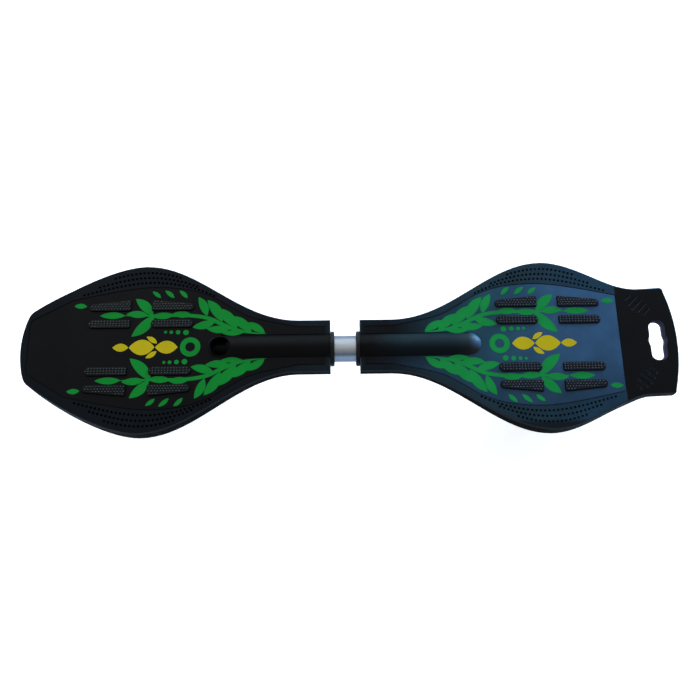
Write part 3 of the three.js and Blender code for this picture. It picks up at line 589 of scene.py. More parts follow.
@dataclass(frozen=True)
class Finish:
    """A finish with its grain, mottle and gloss."""

    name: str
    slot: str
    colour: Colour
    roughness: float
    metallic: float = 0.0
    shine: float = 0.5
    grain_scale: float = 900.0
    grain_depth: float = 0.15
    mottle_scale: float = 30.0
    mottle: float = 0.15
    stretch: tuple[float, float, float] = (1.0, 1.0, 1.0)
    coat: float = 0.0
    shines: tuple[tuple[float, float], ...] = ()
    shine_axis: Axis = Axis.Z
    bands: tuple[Band, ...] = ()
    noise_middle: tuple[float, float] = (0.3, 0.7)
    rubbed_shares: tuple[float, float] = (0.88, 1.15)

    def material(self) -> bpy.types.Material:
        """Makes the finish's material, once.

        Returns:
            The material with its nodes.
        """
        made = bpy.data.materials.get(self.name)
        if made:
            return made
        material = bpy.data.materials.new(self.name)
        material.use_nodes = True
        graph = Graph(material.node_tree)
        place = graph.node("TexCoord").outputs["Object"]
        mapping = graph.node("Mapping", Vector=place, Scale=self.stretch).outputs["Vector"]
        shine = self.layered_shine(graph, mapping) if self.shines else self.shine
        shader = material.node_tree.nodes["Principled BSDF"]
        for name, value in (
            ("Base Color", self.paint(graph, mapping)), ("Roughness", self.gloss(graph, mapping)),
            ("Normal", self.grain(graph, mapping)), ("Metallic", self.metallic),
            ("Specular IOR Level", shine), ("Coat Weight", self.coat), ("Coat Roughness", 0.2),
        ):
            graph.feed(shader.inputs[name], value)
        return material

    def noise(self, graph: Graph, mapping: Socket, scale: float, detail: float, *ends: float) -> Socket:
        """Gives a noise, spread over a range if its two ends are given."""
        value = graph.node("TexNoise", Vector=mapping, Scale=scale, Detail=detail).outputs["Fac"]
        return graph.spread(value, *self.noise_middle, *ends) if ends else value

    def toned(self, graph: Graph, mapping: Socket, colour: Colour) -> Socket:
        """Mottles one colour lighter and darker.

        Args:
            graph: The nodes in the making.
            mapping: The coordinates that the mottle follows.
            colour: The middle colour.

        Returns:
            The mottled colour.
        """
        share = self.noise(graph, mapping, self.mottle_scale, 4.0, 0.0, 1.0)
        dark = tuple(part * (1 - self.mottle) for part in colour)
        light = tuple(min(1.0, part * (1 + self.mottle)) for part in colour)
        return graph.blended(share, dark, light)

    def paint(self, graph: Graph, mapping: Socket) -> Socket:
        """Gives the surface's colour, band after band.

        Args:
            graph: The nodes in the making.
            mapping: The coordinates that the bands follow.

        Returns:
            The colour.
        """
        colour = self.toned(graph, mapping, self.colour)
        for band in self.bands:
            along = graph.node("SeparateXYZ", Vector=mapping).outputs[band.axis.name]
            share = graph.spread(along, band.start, band.end)
            colour = graph.blended(share, colour, self.toned(graph, mapping, band.colour))
        return colour

    def gloss(self, graph: Graph, mapping: Socket) -> Socket:
        """Gives the surface's roughness, a little uneven from handling."""
        low, high = (min(1.0, self.roughness * share) for share in self.rubbed_shares)
        return self.noise(graph, mapping, self.mottle_scale * 2, 3.0, low, high)

    def grain(self, graph: Graph, mapping: Socket) -> Socket:
        """Gives the fine grain as a bump."""
        fine = self.noise(graph, mapping, self.grain_scale, 2.0)
        return graph.node("Bump", Strength=self.grain_depth, Distance=0.2 * MM, Height=fine).outputs["Normal"]

    def layered_shine(self, graph: Graph, mapping: Socket) -> Socket:
        """Gives a shine that changes along an axis, from one stated place to the next.

        Args:
            graph: The nodes in the making.
            mapping: The coordinates that it follows.

        Returns:
            The shine.
        """
        low, high = self.shines[0][0], self.shines[-1][0]
        along = graph.node("SeparateXYZ", Vector=mapping).outputs[self.shine_axis.name]
        ramp = graph.node("ValToRGB", Fac=graph.spread(along, low, high))
        stops = ramp.color_ramp.elements
        while len(stops) < len(self.shines):
            stops.new(0.5)
        for stop, (place, shine) in zip(stops, self.shines, strict=True):
            stop.position = (place - low) / (high - low)
            stop.color = (shine, shine, shine, 1)
        return ramp.outputs["Color"]


BLACK = (0.002, 0.002, 0.0025)
# The navy below is a painted sheen on the rear rim, not the moulding's own colour.
NAVY_SHEEN = (0.0095, 0.0215, 0.030)
# The grey below is a painted highlight on the grip grooves' walls.
GROOVE_WALL_HIGHLIGHT = (0.017, 0.023, 0.028)
# Painted shade: the kicked-up tail stays black where the painted sheen of the rear deck stops at the crease.
TAIL_BAND = Band(Axis.X, 0.3592, 0.3602, BLACK)
# Painted shade: the skirts below the rounded edge are kept black.
SKIRT_BAND = Band(Axis.Z, 0.1085, 0.1050, BLACK)
# Painted shade: the painted sheen fades to black towards the neck.
NECK_BAND = Band(Axis.X, 0.07, 0.03, BLACK)
MOULDING = Finish("moulding", "deck_slate", BLACK, 0.4, grain_scale=1400, grain_depth=0.12)
SATIN = replace(MOULDING, shines=((0.1085, 0.006), (0.1100, 0.034)))
# The front rim is lighter and bluer towards the neck, a painted sheen.
FRONT_RIM = replace(SATIN, name="black_rim_moulding", slot="deck_black", colour=(0.002, 0.003, 0.0045),
                    bands=(Band(Axis.X, -0.10, -0.06, (0.004, 0.0075, 0.010)), SKIRT_BAND))
FRONT_PANEL = replace(SATIN, name="satin_black_moulding", slot="deck_black", bands=(SKIRT_BAND,))
# Both decks are black plastic. The rear rim's slate-blue tone is a painted sheen that gets lighter towards
# the tail, with painted shade along the near edge, on the tail and on the skirt.
REAR_RIM = replace(SATIN, name="rim_moulding_painted_slate_sheen", colour=(0.0025, 0.0045, 0.007), bands=(
    Band(Axis.X, 0.05, 0.14, NAVY_SHEEN), Band(Axis.X, 0.24, 0.32, (0.0095, 0.027, 0.045)),
    Band(Axis.Y, -0.103, -0.109, (0.004, 0.006, 0.009)), TAIL_BAND, SKIRT_BAND))
# The rear foot panel's slate blue is a painted sheen on black plastic, bluest towards the tail, with painted
# shade on the near side, on the raised ridge and kick, at the neck, on the tail and on the skirt.
REAR_PANEL = replace(SATIN, name="moulding_painted_slate_sheen", bands=(
    Band(Axis.X, 0.06, 0.18, (0.013, 0.042, 0.062)), Band(Axis.X, 0.19, 0.30, (0.026, 0.064, 0.122)),
    Band(Axis.Y, -0.005, -0.080, (0.014, 0.034, 0.062)),
    Band(Axis.Z, 0.1121, 0.1130, (0.0035, 0.0075, 0.011)), NECK_BAND, TAIL_BAND, SKIRT_BAND))
# The rear ridge's blue tint is a painted sheen, with a painted highlight on the dome, painted shade on its
# near side and black towards the neck.
RIDGE = replace(
    MOULDING, name="smooth_ridge", colour=(0.0070, 0.0165, 0.0210), roughness=0.38, shine_axis=Axis.X,
    shines=((0.1380, 0.034), (0.1560, 0.07), (0.1720, 0.19)),
    bands=(Band(Axis.X, 0.158, 0.172, (0.046, 0.112, 0.200)),
           Band(Axis.Y, 0.004, -0.009, (0.003, 0.0055, 0.008)), NECK_BAND))
# A painted highlight on the rounded top edges, not wear: brighter on the rear deck towards the tail and
# duller on the near side.
EDGE = replace(MOULDING, name="painted_edge_highlight", slot="deck_edge", colour=(0.014, 0.025, 0.034), roughness=0.42,
               shine=0.12, bands=(Band(Axis.X, 0.15, 0.27, (0.026, 0.052, 0.082)),
                                  Band(Axis.Y, 0.02, -0.02, (0.014, 0.022, 0.028))))
# A painted highlight on the walls of the carry slot's lead-in (violet) and of the grip grooves (grey).
CUTOUT = replace(
    EDGE, name="cutout_wall", colour=(0.020, 0.019, 0.046), shine=0.1,
    bands=(Band(Axis.Y, 0.030, 0.034, GROOVE_WALL_HIGHLIGHT), Band(Axis.Y, -0.030, -0.034, GROOVE_WALL_HIGHLIGHT)))
UNDERSIDE = replace(MOULDING, name="ribbed_underside", slot="deck_black", colour=(0.010, 0.010, 0.0115),
                    roughness=0.46, shine=0.14)
# The bands are painted highlights on the nubs, lighter towards their tops.
FRONT_GRIP = Finish("black_grip_rubber", "grip_rubber", (0.0008, 0.0008, 0.001), 0.32, grain_scale=2200,
                    grain_depth=0.08, shines=((0.1132, 0.0), (0.1137, 0.06), (0.1150, 0.22)),
                    bands=(Band(Axis.Z, 0.1134, 0.1137, (0.002, 0.003, 0.003)),
                           Band(Axis.Z, 0.1139, 0.1147, (0.016, 0.024, 0.024))))
# The rear pads' bluer tone is a painted sheen.
REAR_GRIP = replace(FRONT_GRIP, name="grip_rubber_painted_slate_sheen",
                    bands=(Band(Axis.Z, 0.1134, 0.1137, (0.0045, 0.006, 0.009)),
                           Band(Axis.Z, 0.1139, 0.1147, (0.024, 0.034, 0.050))))
PLUG_NYLON = Finish("dull_black_nylon", "moulded_nylon", (0.0012, 0.0012, 0.0014), 0.5, shine=0.02)
NYLON = Finish("moulded_black_nylon", "moulded_nylon", (0.004, 0.004, 0.005), 0.36, shine=0.1,
               grain_scale=1800, grain_depth=0.1)
# The bands along Y are painted reflections: a bright highlight along the middle, a darker band below it and a
# blue band along the near side.
TUBE = Finish(
    "anodised_tube_painted_reflections", "tube_aluminium", (0.180, 0.200, 0.230), 0.36, metallic=0.85, grain_scale=420,
    grain_depth=0.04, mottle_scale=18, mottle=0.04, stretch=(10.0, 1.0, 1.0),
    bands=(Band(Axis.Y, 0.009, 0.005, (0.148, 0.165, 0.182)),
           Band(Axis.Y, 0.0025, -0.003, (0.300, 0.318, 0.330)),
           Band(Axis.Y, -0.003, -0.0122, (0.080, 0.108, 0.150)),
           Band(Axis.Y, -0.0125, -0.0155, (0.285, 0.390, 0.550))))
ZINC = Finish("zinc_plate", "zinc_steel", (0.56, 0.56, 0.55), 0.34, metallic=1.0, grain_scale=420,
              grain_depth=0.1, mottle_scale=120, mottle=0.16)
SPRING = Finish("oiled_spring_wire", "spring_steel", (0.2, 0.2, 0.21), 0.4, metallic=1.0)
BEARING = Finish("ground_bearing_steel", "bearing_steel", (0.7, 0.71, 0.72), 0.2, metallic=1.0,
                 grain_scale=900, grain_depth=0.04, mottle=0.05)
URETHANE = Finish("cast_urethane", "wheel_urethane", (0.018, 0.019, 0.023), 0.4, shine=0.5,
                  grain_scale=500, grain_depth=0.08, mottle=0.25, coat=0.1)
HUB = Finish("moulded_hub_nylon", "hub_nylon", (0.025, 0.027, 0.032), 0.36, grain_scale=1500, grain_depth=0.1)
GREEN = Finish("green_print_ink", "print_green", (0.002, 0.165, 0.018), 0.5, shine=0.05, grain_scale=1600,
               grain_depth=0.12, mottle=0.07)
PALE_GREEN = replace(GREEN, name="pale_green_print_ink", colour=(0.004, 0.175, 0.032), mottle=0.1)
YELLOW = replace(GREEN, name="yellow_print_ink", slot="print_yellow", colour=(0.40, 0.30, 0.004))


class Mark(IntEnum):
    """The finishes on a deck's one mesh, in the order of its materials."""

    RIM = 0
    PANEL = 1
    # The edge, ridge and cut-out faces get painted highlights and painted shade.
    EDGE = 2
    RIDGE = 3
    CUTOUT = 4
    UNDERSIDE = 5


@dataclass
class Workshop:
    """Turns forms into finished pieces and keeps count of them."""

    made: list[str] = field(default_factory=list)

    def finish(self, form: Form, name: str, finish: Finish, body: str, *nodes: str,
               smooth_deg: float = 32.0, marked: Sequence[Finish] = ()) -> None:
        """Makes a finished piece of a form.

        Args:
            form: The closed form, in place.
            name: The piece's name.
            finish: Its finish.
            body: The moving body that it rides on.
            nodes: The solids that it stands for.
            smooth_deg: Edges that turn by more than this stay sharp.
            marked: The finishes of the faces that were marked 1, 2 and so on.
        """
        bmesh.ops.remove_doubles(form.mesh, verts=form.mesh.verts[:], dist=0.002 * MM)
        mesh = bpy.data.meshes.new(name)
        form.mesh.to_mesh(mesh)
        form.mesh.free()
        mesh.shade_smooth()
        mesh.set_sharp_from_angle(angle=math.radians(smooth_deg))
        for coat in (finish, *marked):
            mesh.materials.append(coat.material())
        piece = shown(name, mesh)
        piece.modifiers.new("even_shading", "WEIGHTED_NORMAL").keep_sharp = True
        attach(piece, body)
        if nodes:
            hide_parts(*nodes)
        self.made.append(name)
        log.info("%s: %d faces on %s", name, len(mesh.polygons), body)


# Decks


@dataclass(frozen=True)
class Screw:
    """A cap screw that is pushed up into a deck's neck from below."""

    name: str
    end: End
    along: float
    radius: float
    tip: float


PLUG_BOLT = Screw("plug_bolt", End.FRONT, 165 * MM, 4 * MM, 5 * MM)
SCREWS = (
    Screw("tube_lock_screw", End.FRONT, 60 * MM, 3 * MM, -14 * MM),
    PLUG_BOLT,
    Screw("twist_stop_screw", End.REAR, 60 * MM, 3 * MM, -14 * MM),
    Screw("anchor_bolt", End.REAR, 156.05 * MM, 2.5 * MM, -12.2 * MM),
)


@dataclass
class Board:
    """Sizes that the sub-assemblies share, in metres."""

    front_reach: float = 426 * MM
    rear_reach: float = 437 * MM
    neck_end: float = 19.5 * MM
    platform_z: float = 112 * MM
    tube_depth: float = 15 * MM
    tube_radius: float = 17.5 * MM
    tube_end: float = 150 * MM
    sleeve_wall: float = 1.2 * MM
    sleeve: float = 30 * MM
    plug_flange: float = 6 * MM
    rod_radius: float = 10 * MM
    rod_end: float = 178 * MM
    anchor_radius: float = 19 * MM
    anchor_flange: float = 11.5 * MM
    housing_radius: float = 24 * MM
    screw_flat: float = 3 * MM
    caster_at: float = 262 * MM
    caster_lean: float = math.radians(30)
    base_z: float = 80.6936 * MM
    gap: float = 0.3 * MM

    @property
    def axis_z(self) -> float:
        """Gives the height of the tube's axis."""
        return self.platform_z - self.tube_depth

    @property
    def between(self) -> float:
        """Gives the place of the gap's middle along X."""
        return (self.front_reach - self.rear_reach) / 2

    def half(self, end: End) -> Matrix:
        """Places a half of the board that is drawn from the gap outwards."""
        middle = Matrix.Translation((self.between, 0, 0))
        return middle @ Matrix.Rotation(HALF_TURN, 4, "Z") if end is End.FRONT else middle

    def on_axis(self, end: End, along: float = 0.0) -> Matrix:
        """Gives a place on the tube's axis, at a distance from the gap's middle."""
        return self.half(end) @ Matrix.Translation((along, 0, self.axis_z))

    def caster(self, end: End) -> Matrix:
        """Gives the place of a caster's leaning frame."""
        place = Matrix.Translation((self.between + end.trail * self.caster_at, 0, self.base_z))
        return place @ Matrix.Rotation(-self.caster_lean, 4, "Y")


@dataclass
class Pads:
    """Sizes and places of the raised grip pads, in metres."""

    start: float = 201.8 * MM
    to_kick: float = 23.6 * MM
    spacing: float = 28 * MM
    inner_y: float = 33 * MM
    inner_half: float = 6 * MM
    outer_y: float = 59.3 * MM
    outer_half: float = 7.9 * MM
    tip_half: float = 5 * MM
    corner: float = 2.4 * MM
    tip_corner: float = 4.4 * MM
    height: float = 3 * MM
    pocket: float = 1.2 * MM
    nub_radius: float = 1.15 * MM
    nub_rise: float = 1.3 * MM
    nub_border: float = 1.9 * MM
    nub_row: float = 3.3 * MM
    nub_column: float = 3.95 * MM
    round_share: float = 0.98
    first_row_share: float = 0.8
    most_rows: int = 6
    corner_steps: int = 8
    edge: float = 1 * MM

    def outline(self, name: str, kick: float, grow: float = 0.0) -> tuple[list[Vector], list[float]]:
        """Gives the corners of a pad and their radii.

        Args:
            name: inner_near, outer_near, inner_far or outer_far.
            kick: Where the deck's end starts to rise.
            grow: How far the outline is grown outwards.

        Returns:
            The corners, anticlockwise, and a radius for each.
        """
        end = kick - self.to_kick
        length = (end - self.start - self.spacing) / 2
        near = "near" in name
        low = self.start if near else end - length
        high = low + length
        if "inner" in name:
            base, width = self.inner_y - self.inner_half, 2 * self.inner_half
            widths = width, width
            high_radius = self.inner_half * self.round_share
            radii = high_radius if near else self.corner, high_radius
        else:
            base = self.outer_y - self.outer_half
            widths, radii = (2 * self.tip_half, 2 * self.outer_half), (self.tip_corner, self.corner)
            if not near:
                widths, radii = widths[::-1], radii[::-1]
        corners = [
            Vector((low - grow, base - grow, 0)),
            Vector((high + grow, base - grow, 0)),
            Vector((high + grow, base + widths[1] + grow, 0)),
            Vector((low - grow, base + widths[0] + grow, 0)),
        ]
        return corners, [radius + grow for radius in (radii[0], radii[1], radii[1], radii[0])]

    def form(self, name: str, kick: float, low: float, high: float, grow: float = 0.0) -> Form:
        """Gives a pad's plate between two heights, its outline grown outwards if asked."""
        corners, radii = self.outline(name, kick, grow)
        return Form.slab(rounded(corners, radii, self.corner_steps), low, high)

    def nub_places(self, name: str, kick: float, height: float) -> list[Vector]:
        """Gives the middles of a pad's nubs, in rows along its straight inner edge.

        Args:
            name: The pad's name.
            kick: Where the deck's end starts to rise.
            height: Height of the middles.

        Returns:
            The middles, staggered on the outer pads.
        """
        corners, radii = self.outline(name, kick)
        ring = drawn_in(rounded(corners, radii, self.corner_steps), self.nub_border)
        low, high, *_ = corners
        inner = "inner" in name
        columns = round((high.x - low.x) / self.nub_column)
        pitch = (high.x - low.x) / columns
        first_row = self.inner_half - self.nub_row if inner else self.first_row_share * self.nub_row
        places = []
        for row in range(self.most_rows):
            shift = 0.0 if inner else 0.5 * (row % 2)
            for column in range(-1, columns + 1):
                along = low.x + (column + 0.5 + shift) * pitch
                point = Vector((along, low.y + first_row + row * self.nub_row, height))
                if lies_inside(ring, point):
                    places.append(point)
        return places


PAD_NAMES = ("inner_near", "outer_near", "inner_far", "outer_far")


@dataclass
class Deck:
    """A moulded deck, drawn from the middle of the gap along +X."""

    board: Board
    end: End
    pads: Pads = field(default_factory=Pads)
    neck_half: float = 36.3 * MM
    belly_half: float = 117 * MM
    belly_at: float = 268 * MM
    flare_start: float = 61.5 * MM
    skirt: float = 24 * MM
    neck_skirt: float = 12.5 * MM
    tail_skirt: float = 8 * MM
    tail_skirt_run: float = 28 * MM
    skin: float = 4 * MM
    wall: float = 3.2 * MM
    edge_round: float = 3.5 * MM
    ridge_radius: float = 21.3 * MM
    ridge_centre: float = 165 * MM
    ridge_end: float = 15.2 * MM
    boss_radius: float = 31 * MM
    groove_half: float = 0.8 * MM
    groove_depth: float = 0.9 * MM
    slot_back: float = 25.4 * MM
    slot_half: float = 8.3 * MM
    slot_length: float = 54 * MM
    slot_bulge: float = 1.7 * MM
    slot_bulge_reach: float = 9 * MM
    slot_lead_shift: float = 4.5 * MM
    slot_wall_depth: float = 8 * MM
    dimple_radius: float = 1.7 * MM
    dimple_depth: float = 2.8 * MM
    dimple_pitch: float = 5.6 * MM
    curve_steps: int = 22
    round_sides: int = 64
    front_kick: float = 61 * MM
    rear_kick: float = 72 * MM
    front_rise: float = 6 * MM
    rear_rise: float = 10 * MM
    panel_inset: float = 9.8 * MM
    panel_start: float = 7 * MM
    skirt_steps: int = 150
    skirt_edge: float = 0.6 * MM
    rib_half: float = 1.2 * MM
    rib_depth: float = 10 * MM
    rib_y: float = 46 * MM
    rib_start: float = 140 * MM
    rib_behind: float = 19 * MM
    housing_edge: float = 0.8 * MM
    bore_lead: float = 20 * MM
    well_radius: float = 13 * MM
    well_depth: float = 27 * MM
    well_rim_low: float = 117.1 * MM
    well_rim: float = 2 * MM
    well_rim_radius: float = 14.6 * MM
    king_recess_radius: float = 10.12 * MM
    king_recess: float = 5.8 * MM
    crease_depth: float = 0.9 * MM
    crease_width: float = 1.1 * MM
    crease_gap: float = 0.1 * MM
    dimple_rows: tuple[tuple[float, int, int], ...] = ((0.31, 222, 313), (0.54, 199, 333), (0.77, 176, 352))
    dimple_tip_share: float = 0.7
    dimple_mouth_share: float = 1.14
    slot_wall: float = 6.2 * MM
    slot_lead_depth: float = 3.2 * MM
    slot_lead_width: float = 3 * MM
    slot_lead_steps: int = 5
    slot_lead_floor: float = 4 * MM
    slot_lead_least: float = 0.02 * MM
    grip_half: float = 1.9 * MM
    grip_depth: float = 1.6 * MM
    grip_pitch: float = 7.6 * MM
    grip_middle: tuple[float, float] = (45.5 * MM, 52 * MM)
    grip_lengths: tuple[float, ...] = (10.5 * MM, 18.5 * MM, 21.5 * MM, 18 * MM, 12.5 * MM)
    grip_round_share: float = 0.98
    grip_overcut: float = 0.4 * MM
    grip_floor_share: float = 0.35
    grip_slope_share: float = 0.65
    cutout_depth: float = 8.5 * MM
    cutout_rim: float = 2 * MM
    slot_zone: tuple[float, float] = (7.4 * MM, 34 * MM)
    grip_zone: tuple[float, float] = (20 * MM, 71 * MM)
    tail_zone: float = 66 * MM
    well_zone: tuple[float, float] = (16 * MM, 15 * MM)
    hollow_border: tuple[float, float] = (3 * MM, 2 * MM)
    flush: float = 0.05 * MM
    skirt_slack: float = 0.2 * MM
    cutout_tilt: float = -0.3
    edge_tilt: float = 0.25

    @property
    def reach(self) -> float:
        """Gives the deck's far end."""
        return self.by_end(self.board.front_reach, self.board.rear_reach)

    @property
    def lean(self) -> Matrix:
        """Gives the place of the caster's leaning frame."""
        place = Matrix.Translation((self.board.caster_at, 0, self.board.base_z))
        return place @ Matrix.Rotation(-self.board.caster_lean * self.end.trail, 4, "Y")

    @property
    def axis(self) -> Vector:
        """Gives a point on the tube's axis."""
        return Vector((0, 0, self.board.axis_z))

    def by_end(self, front: float, rear: float) -> float:
        """Gives the size that belongs to this deck's end."""
        return front if self.end is End.FRONT else rear

    @property
    def kick(self) -> float:
        """Gives where the deck's end starts to rise."""
        return self.reach - self.by_end(self.front_kick, self.rear_kick)

    @property
    def slope(self) -> float:
        """Gives how steeply the deck's end rises."""
        return self.by_end(self.front_rise, self.rear_rise) / (self.reach - self.kick)

    def side(self) -> list[Vector]:
        """Gives one side of the outline, from the neck to the middle of the far end."""
        near = [(19.5, 36.3), (33.5, 36.3), (47.5, 36.3), (61.5, 36.3), (141.5, 36.3), (196, 117), (268, 117)]
        if self.end is End.FRONT:
            far = [(314, 117), (388, 71.9), (414, 50.5), (418.3, 47), (420.2, 40), (421.4, 36),
                   (424.4, 24), (426, 12), (426, 0)]
        else:
            far = [(314, 117), (358, 74.6), (396, 74.6), (405, 74.6), (413, 74.6), (421.5, 74.6),
                   (425.5, 74.6), (427.5, 72.6), (427.5, 68.6), (433.8, 46), (437, 24), (437, 0)]
        return swept(near + far, self.curve_steps)[:-1]

    def ring(self) -> list[Vector]:
        """Gives the whole outline, anticlockwise from above."""
        side = self.side()
        return [*opposite(side), Vector((self.reach, 0, 0)), *reversed(side)]

    def panel_side(self) -> list[Vector]:
        """Gives one side of the line between the foot panel and the dimpled band."""
        shares = [(0.193, 0.335), (0.292, 0.462), (0.381, 0.601), (0.489, 0.695), (0.621, 0.729),
                  (0.736, 0.709), (0.868, 0.648), (1, 0.574)]
        along = self.kick - self.flare_start
        neck_y = self.neck_half - self.panel_inset
        knots = [Vector((self.flare_start, neck_y, 0))]
        knots += [Vector((self.flare_start + far * along, wide * self.belly_half, 0)) for far, wide in shares]
        side = [Vector((self.board.neck_end + self.panel_start, neck_y, 0)), *smooth_line(knots, 8)]
        if self.end is End.FRONT:
            nose = self.reach - self.panel_inset
            side += [Vector((nose - back, wide * self.belly_half, 0))
                     for back, wide in ((self.panel_inset, 0.36), (2 * MM, 0.32), (0, 0.26))]
        return side

    def panel_ring(self) -> list[Vector]:
        """Gives the whole line round the foot panel, anticlockwise from above."""
        side = self.panel_side()
        return [*opposite(side), *reversed(side)]

    def shell(self) -> Form:
        """Gives the moulded shell: platform, rounded edge and skirt, hollow from below."""
        top = self.board.platform_z
        ring = self.ring()
        outside = Form.slab(ring, top - self.skirt, top)
        outside.softened(self.edge_round, 5, 60.0, where=lambda middle: middle.z > top - OVERCUT)
        hollow = Form.slab(ring, top - 2 * self.skirt, top - self.skin, self.wall)
        shell = outside.cut(hollow, self.below_skirt())
        return shell.softened(self.skirt_edge, 2, 60.0, where=self.on_skirt_edge)

    def skirt_depth(self, x: float) -> float:
        """Gives how deep the skirt hangs at a place along the deck."""
        near = smooth_share(x, self.flare_start, self.belly_at)
        depth = self.neck_skirt + (self.skirt - self.neck_skirt) * near
        if self.end is End.REAR:
            far = smooth_share(x, self.kick, self.kick + self.tail_skirt_run)
            depth = min(depth, self.skirt + (self.tail_skirt - self.skirt) * far)
        return depth

    def on_skirt_edge(self, middle: Vector) -> bool:
        """Tells whether an edge with this middle lies on the skirt's lower rim."""
        return abs(self.board.platform_z - self.skirt_depth(middle.x) - middle.z) < self.skirt_slack

    def below_skirt(self) -> Form:
        """Gives the space below the skirt's lower rim."""
        across = 2 * self.belly_half
        rim = [self.reach * 1.05 * step / self.skirt_steps for step in range(self.skirt_steps + 1)]
        ring = [Vector((0, 0, 0)), Vector((rim[-1], 0, 0))]
        ring += [Vector((x, self.board.platform_z - self.skirt_depth(x), 0)) for x in reversed(rim)]
        return Form.slab(ring, -across, across).moved(Matrix.Rotation(QUARTER_TURN, 4, "X"))

    def inside(self) -> Form:
        """Gives the space that ribs and boss are trimmed to."""
        return Form.slab(self.ring(), 0, self.board.platform_z - self.skin / 2, self.wall / 2)

    def underside(self) -> Form:
        """Gives the tube housing, the slanted caster boss and the ribs."""
        board = self.board
        top = board.platform_z
        half, bottom = self.rib_half, top - self.skin - self.rib_depth
        behind = board.caster_at + self.boss_radius + self.rib_behind
        ribs = [Form.block(Vector((self.rib_start, y - half, bottom)), Vector((self.kick, y + half, top)))
                for y in (-self.rib_y, self.rib_y)]
        ribs += [Form.block(Vector((x - half, -self.reach, bottom)), Vector((x + half, self.reach, top)))
                 for x in (self.rib_start, behind, self.kick)]
        boss = Form.rod(self.boss_radius, 0, top, Axis.Z, self.round_sides).moved(self.lean)
        trimmed = boss.joined(*ribs).within(self.inside())
        far = self.ridge_centre + self.ridge_end + self.wall
        housing = Form.rod(board.housing_radius, board.neck_end, far, Axis.X, self.round_sides, self.axis)
        housing.softened(self.housing_edge, 2, 60.0)
        below = Form.block(Vector((0, -self.reach, 0)), Vector((self.reach, self.reach, top - self.skin / 2)))
        return trimmed.joined(housing.within(below))

    def ridge(self) -> Form:
        """Gives the raised ridge over the tube: domed at the rear, upright round the well in front."""
        start, centre = self.board.neck_end, self.ridge_centre
        radius, sides = self.ridge_radius, self.round_sides
        corner = Vector((0, -self.reach, self.board.axis_z))
        above = Form.block(corner, Vector((self.reach, self.reach, BEYOND)))
        if self.end is End.REAR:
            rod = Form.rod(radius, start, centre, Axis.X, sides, self.axis)
            dome = Form()
            turn = Matrix.Translation(self.axis + Vector((centre, 0, 0))) @ Axis.X.upright()
            bmesh.ops.create_uvsphere(dome.mesh, u_segments=sides, v_segments=sides // 2, radius=radius,
                                      matrix=turn)
            return rod.joined(dome).within(above)
        rod = Form.rod(radius, start, centre + self.ridge_end, Axis.X, sides, self.axis)
        end = Form.rod(self.ridge_end, 0, BEYOND, Axis.Z, sides, Vector((centre, 0, 0)))
        straight = Form.block(Vector((0, -radius, 0)), Vector((centre, radius, BEYOND)))
        return rod.within(straight.joined(end)).within(above)

    def bores(self) -> Form:
        """Gives all that is bored out: tube seat, well, screws and the king bolt's recess."""
        board, gap = self.board, self.board.gap
        low = board.neck_end - self.bore_lead
        seat = board.tube_end + 2 * gap

        def lengthways(radius: float, start: float, end: float, sides: int = self.round_sides) -> Form:
            """Gives a bore along the tube's axis."""
            return Form.rod(radius, start, end, Axis.X, sides, self.axis)

        if self.end is End.FRONT:
            centre = Vector((self.ridge_centre, 0, 0))
            well = Form.rod(self.well_radius, board.platform_z - self.well_depth, BEYOND, Axis.Z,
                            self.round_sides, centre)
            rim = Form.rod(self.well_radius, self.well_rim_low, self.well_rim_low + self.well_rim, Axis.Z,
                           self.round_sides, centre, self.well_rim_radius)
            sleeve = lengthways(board.anchor_radius + gap, low, board.neck_end + board.sleeve + gap)
            tube = lengthways(board.tube_radius + gap, low, seat + board.plug_flange)
            rod = lengthways(board.rod_radius + gap, board.tube_end, board.rod_end + gap, 40)
            bored = sleeve.joined(tube, rod, well, rim)
        else:
            bored = lengthways(board.anchor_radius + gap, low, seat + board.anchor_flange)
        flat_z = board.axis_z - board.housing_radius + board.screw_flat
        for screw in SCREWS:
            if screw.end is self.end:
                place, radius = Vector((screw.along, 0, 0)), screw.radius + gap
                shank = Form.rod(radius, 0, board.axis_z, Axis.Z, 24, place)
                head = Form.rod(2 * radius, 0, flat_z, Axis.Z, 32, place)
                bored = bored.joined(shank, head)
        recess = Form.rod(self.king_recess_radius, -self.bore_lead, self.king_recess, Axis.Z, 6)
        return bored.joined(recess.moved(self.lean))

    def pockets(self) -> Form:
        """Gives the shallow pockets that the grip pads sit in."""
        top = self.board.platform_z
        return self.over_pads(top - self.pads.pocket, top + OVERCUT, self.board.gap)

    def over_pads(self, low: float, high: float, grow: float) -> Form:
        """Gives plates over all grip pads, grown outwards, as one form."""
        plates = [self.pads.form(name, self.kick, low, high, grow) for name in PAD_NAMES]
        return Form.gathered(plates).on_both_sides()

    def groove(self) -> Form:
        """Gives the groove round the foot panel."""
        top, ring = self.board.platform_z, self.panel_ring()
        outer = Form.slab(ring, top - self.groove_depth, top + OVERCUT, -self.groove_half)
        inner = Form.slab(ring, top - 2 * self.groove_depth, top + 2 * OVERCUT, self.groove_half)
        return outer.cut(inner)

    def creases(self) -> Form:
        """Gives the two fine creases along the foot of the ridge."""
        top = self.board.platform_z
        foot = math.sqrt(self.ridge_radius ** 2 - self.board.tube_depth ** 2) + self.crease_gap
        low = Vector((self.board.neck_end - OVERCUT, foot, top - self.crease_depth))
        high = Vector((self.ridge_centre, foot + self.crease_width, top + OVERCUT))
        return Form.block(low, high).on_both_sides()

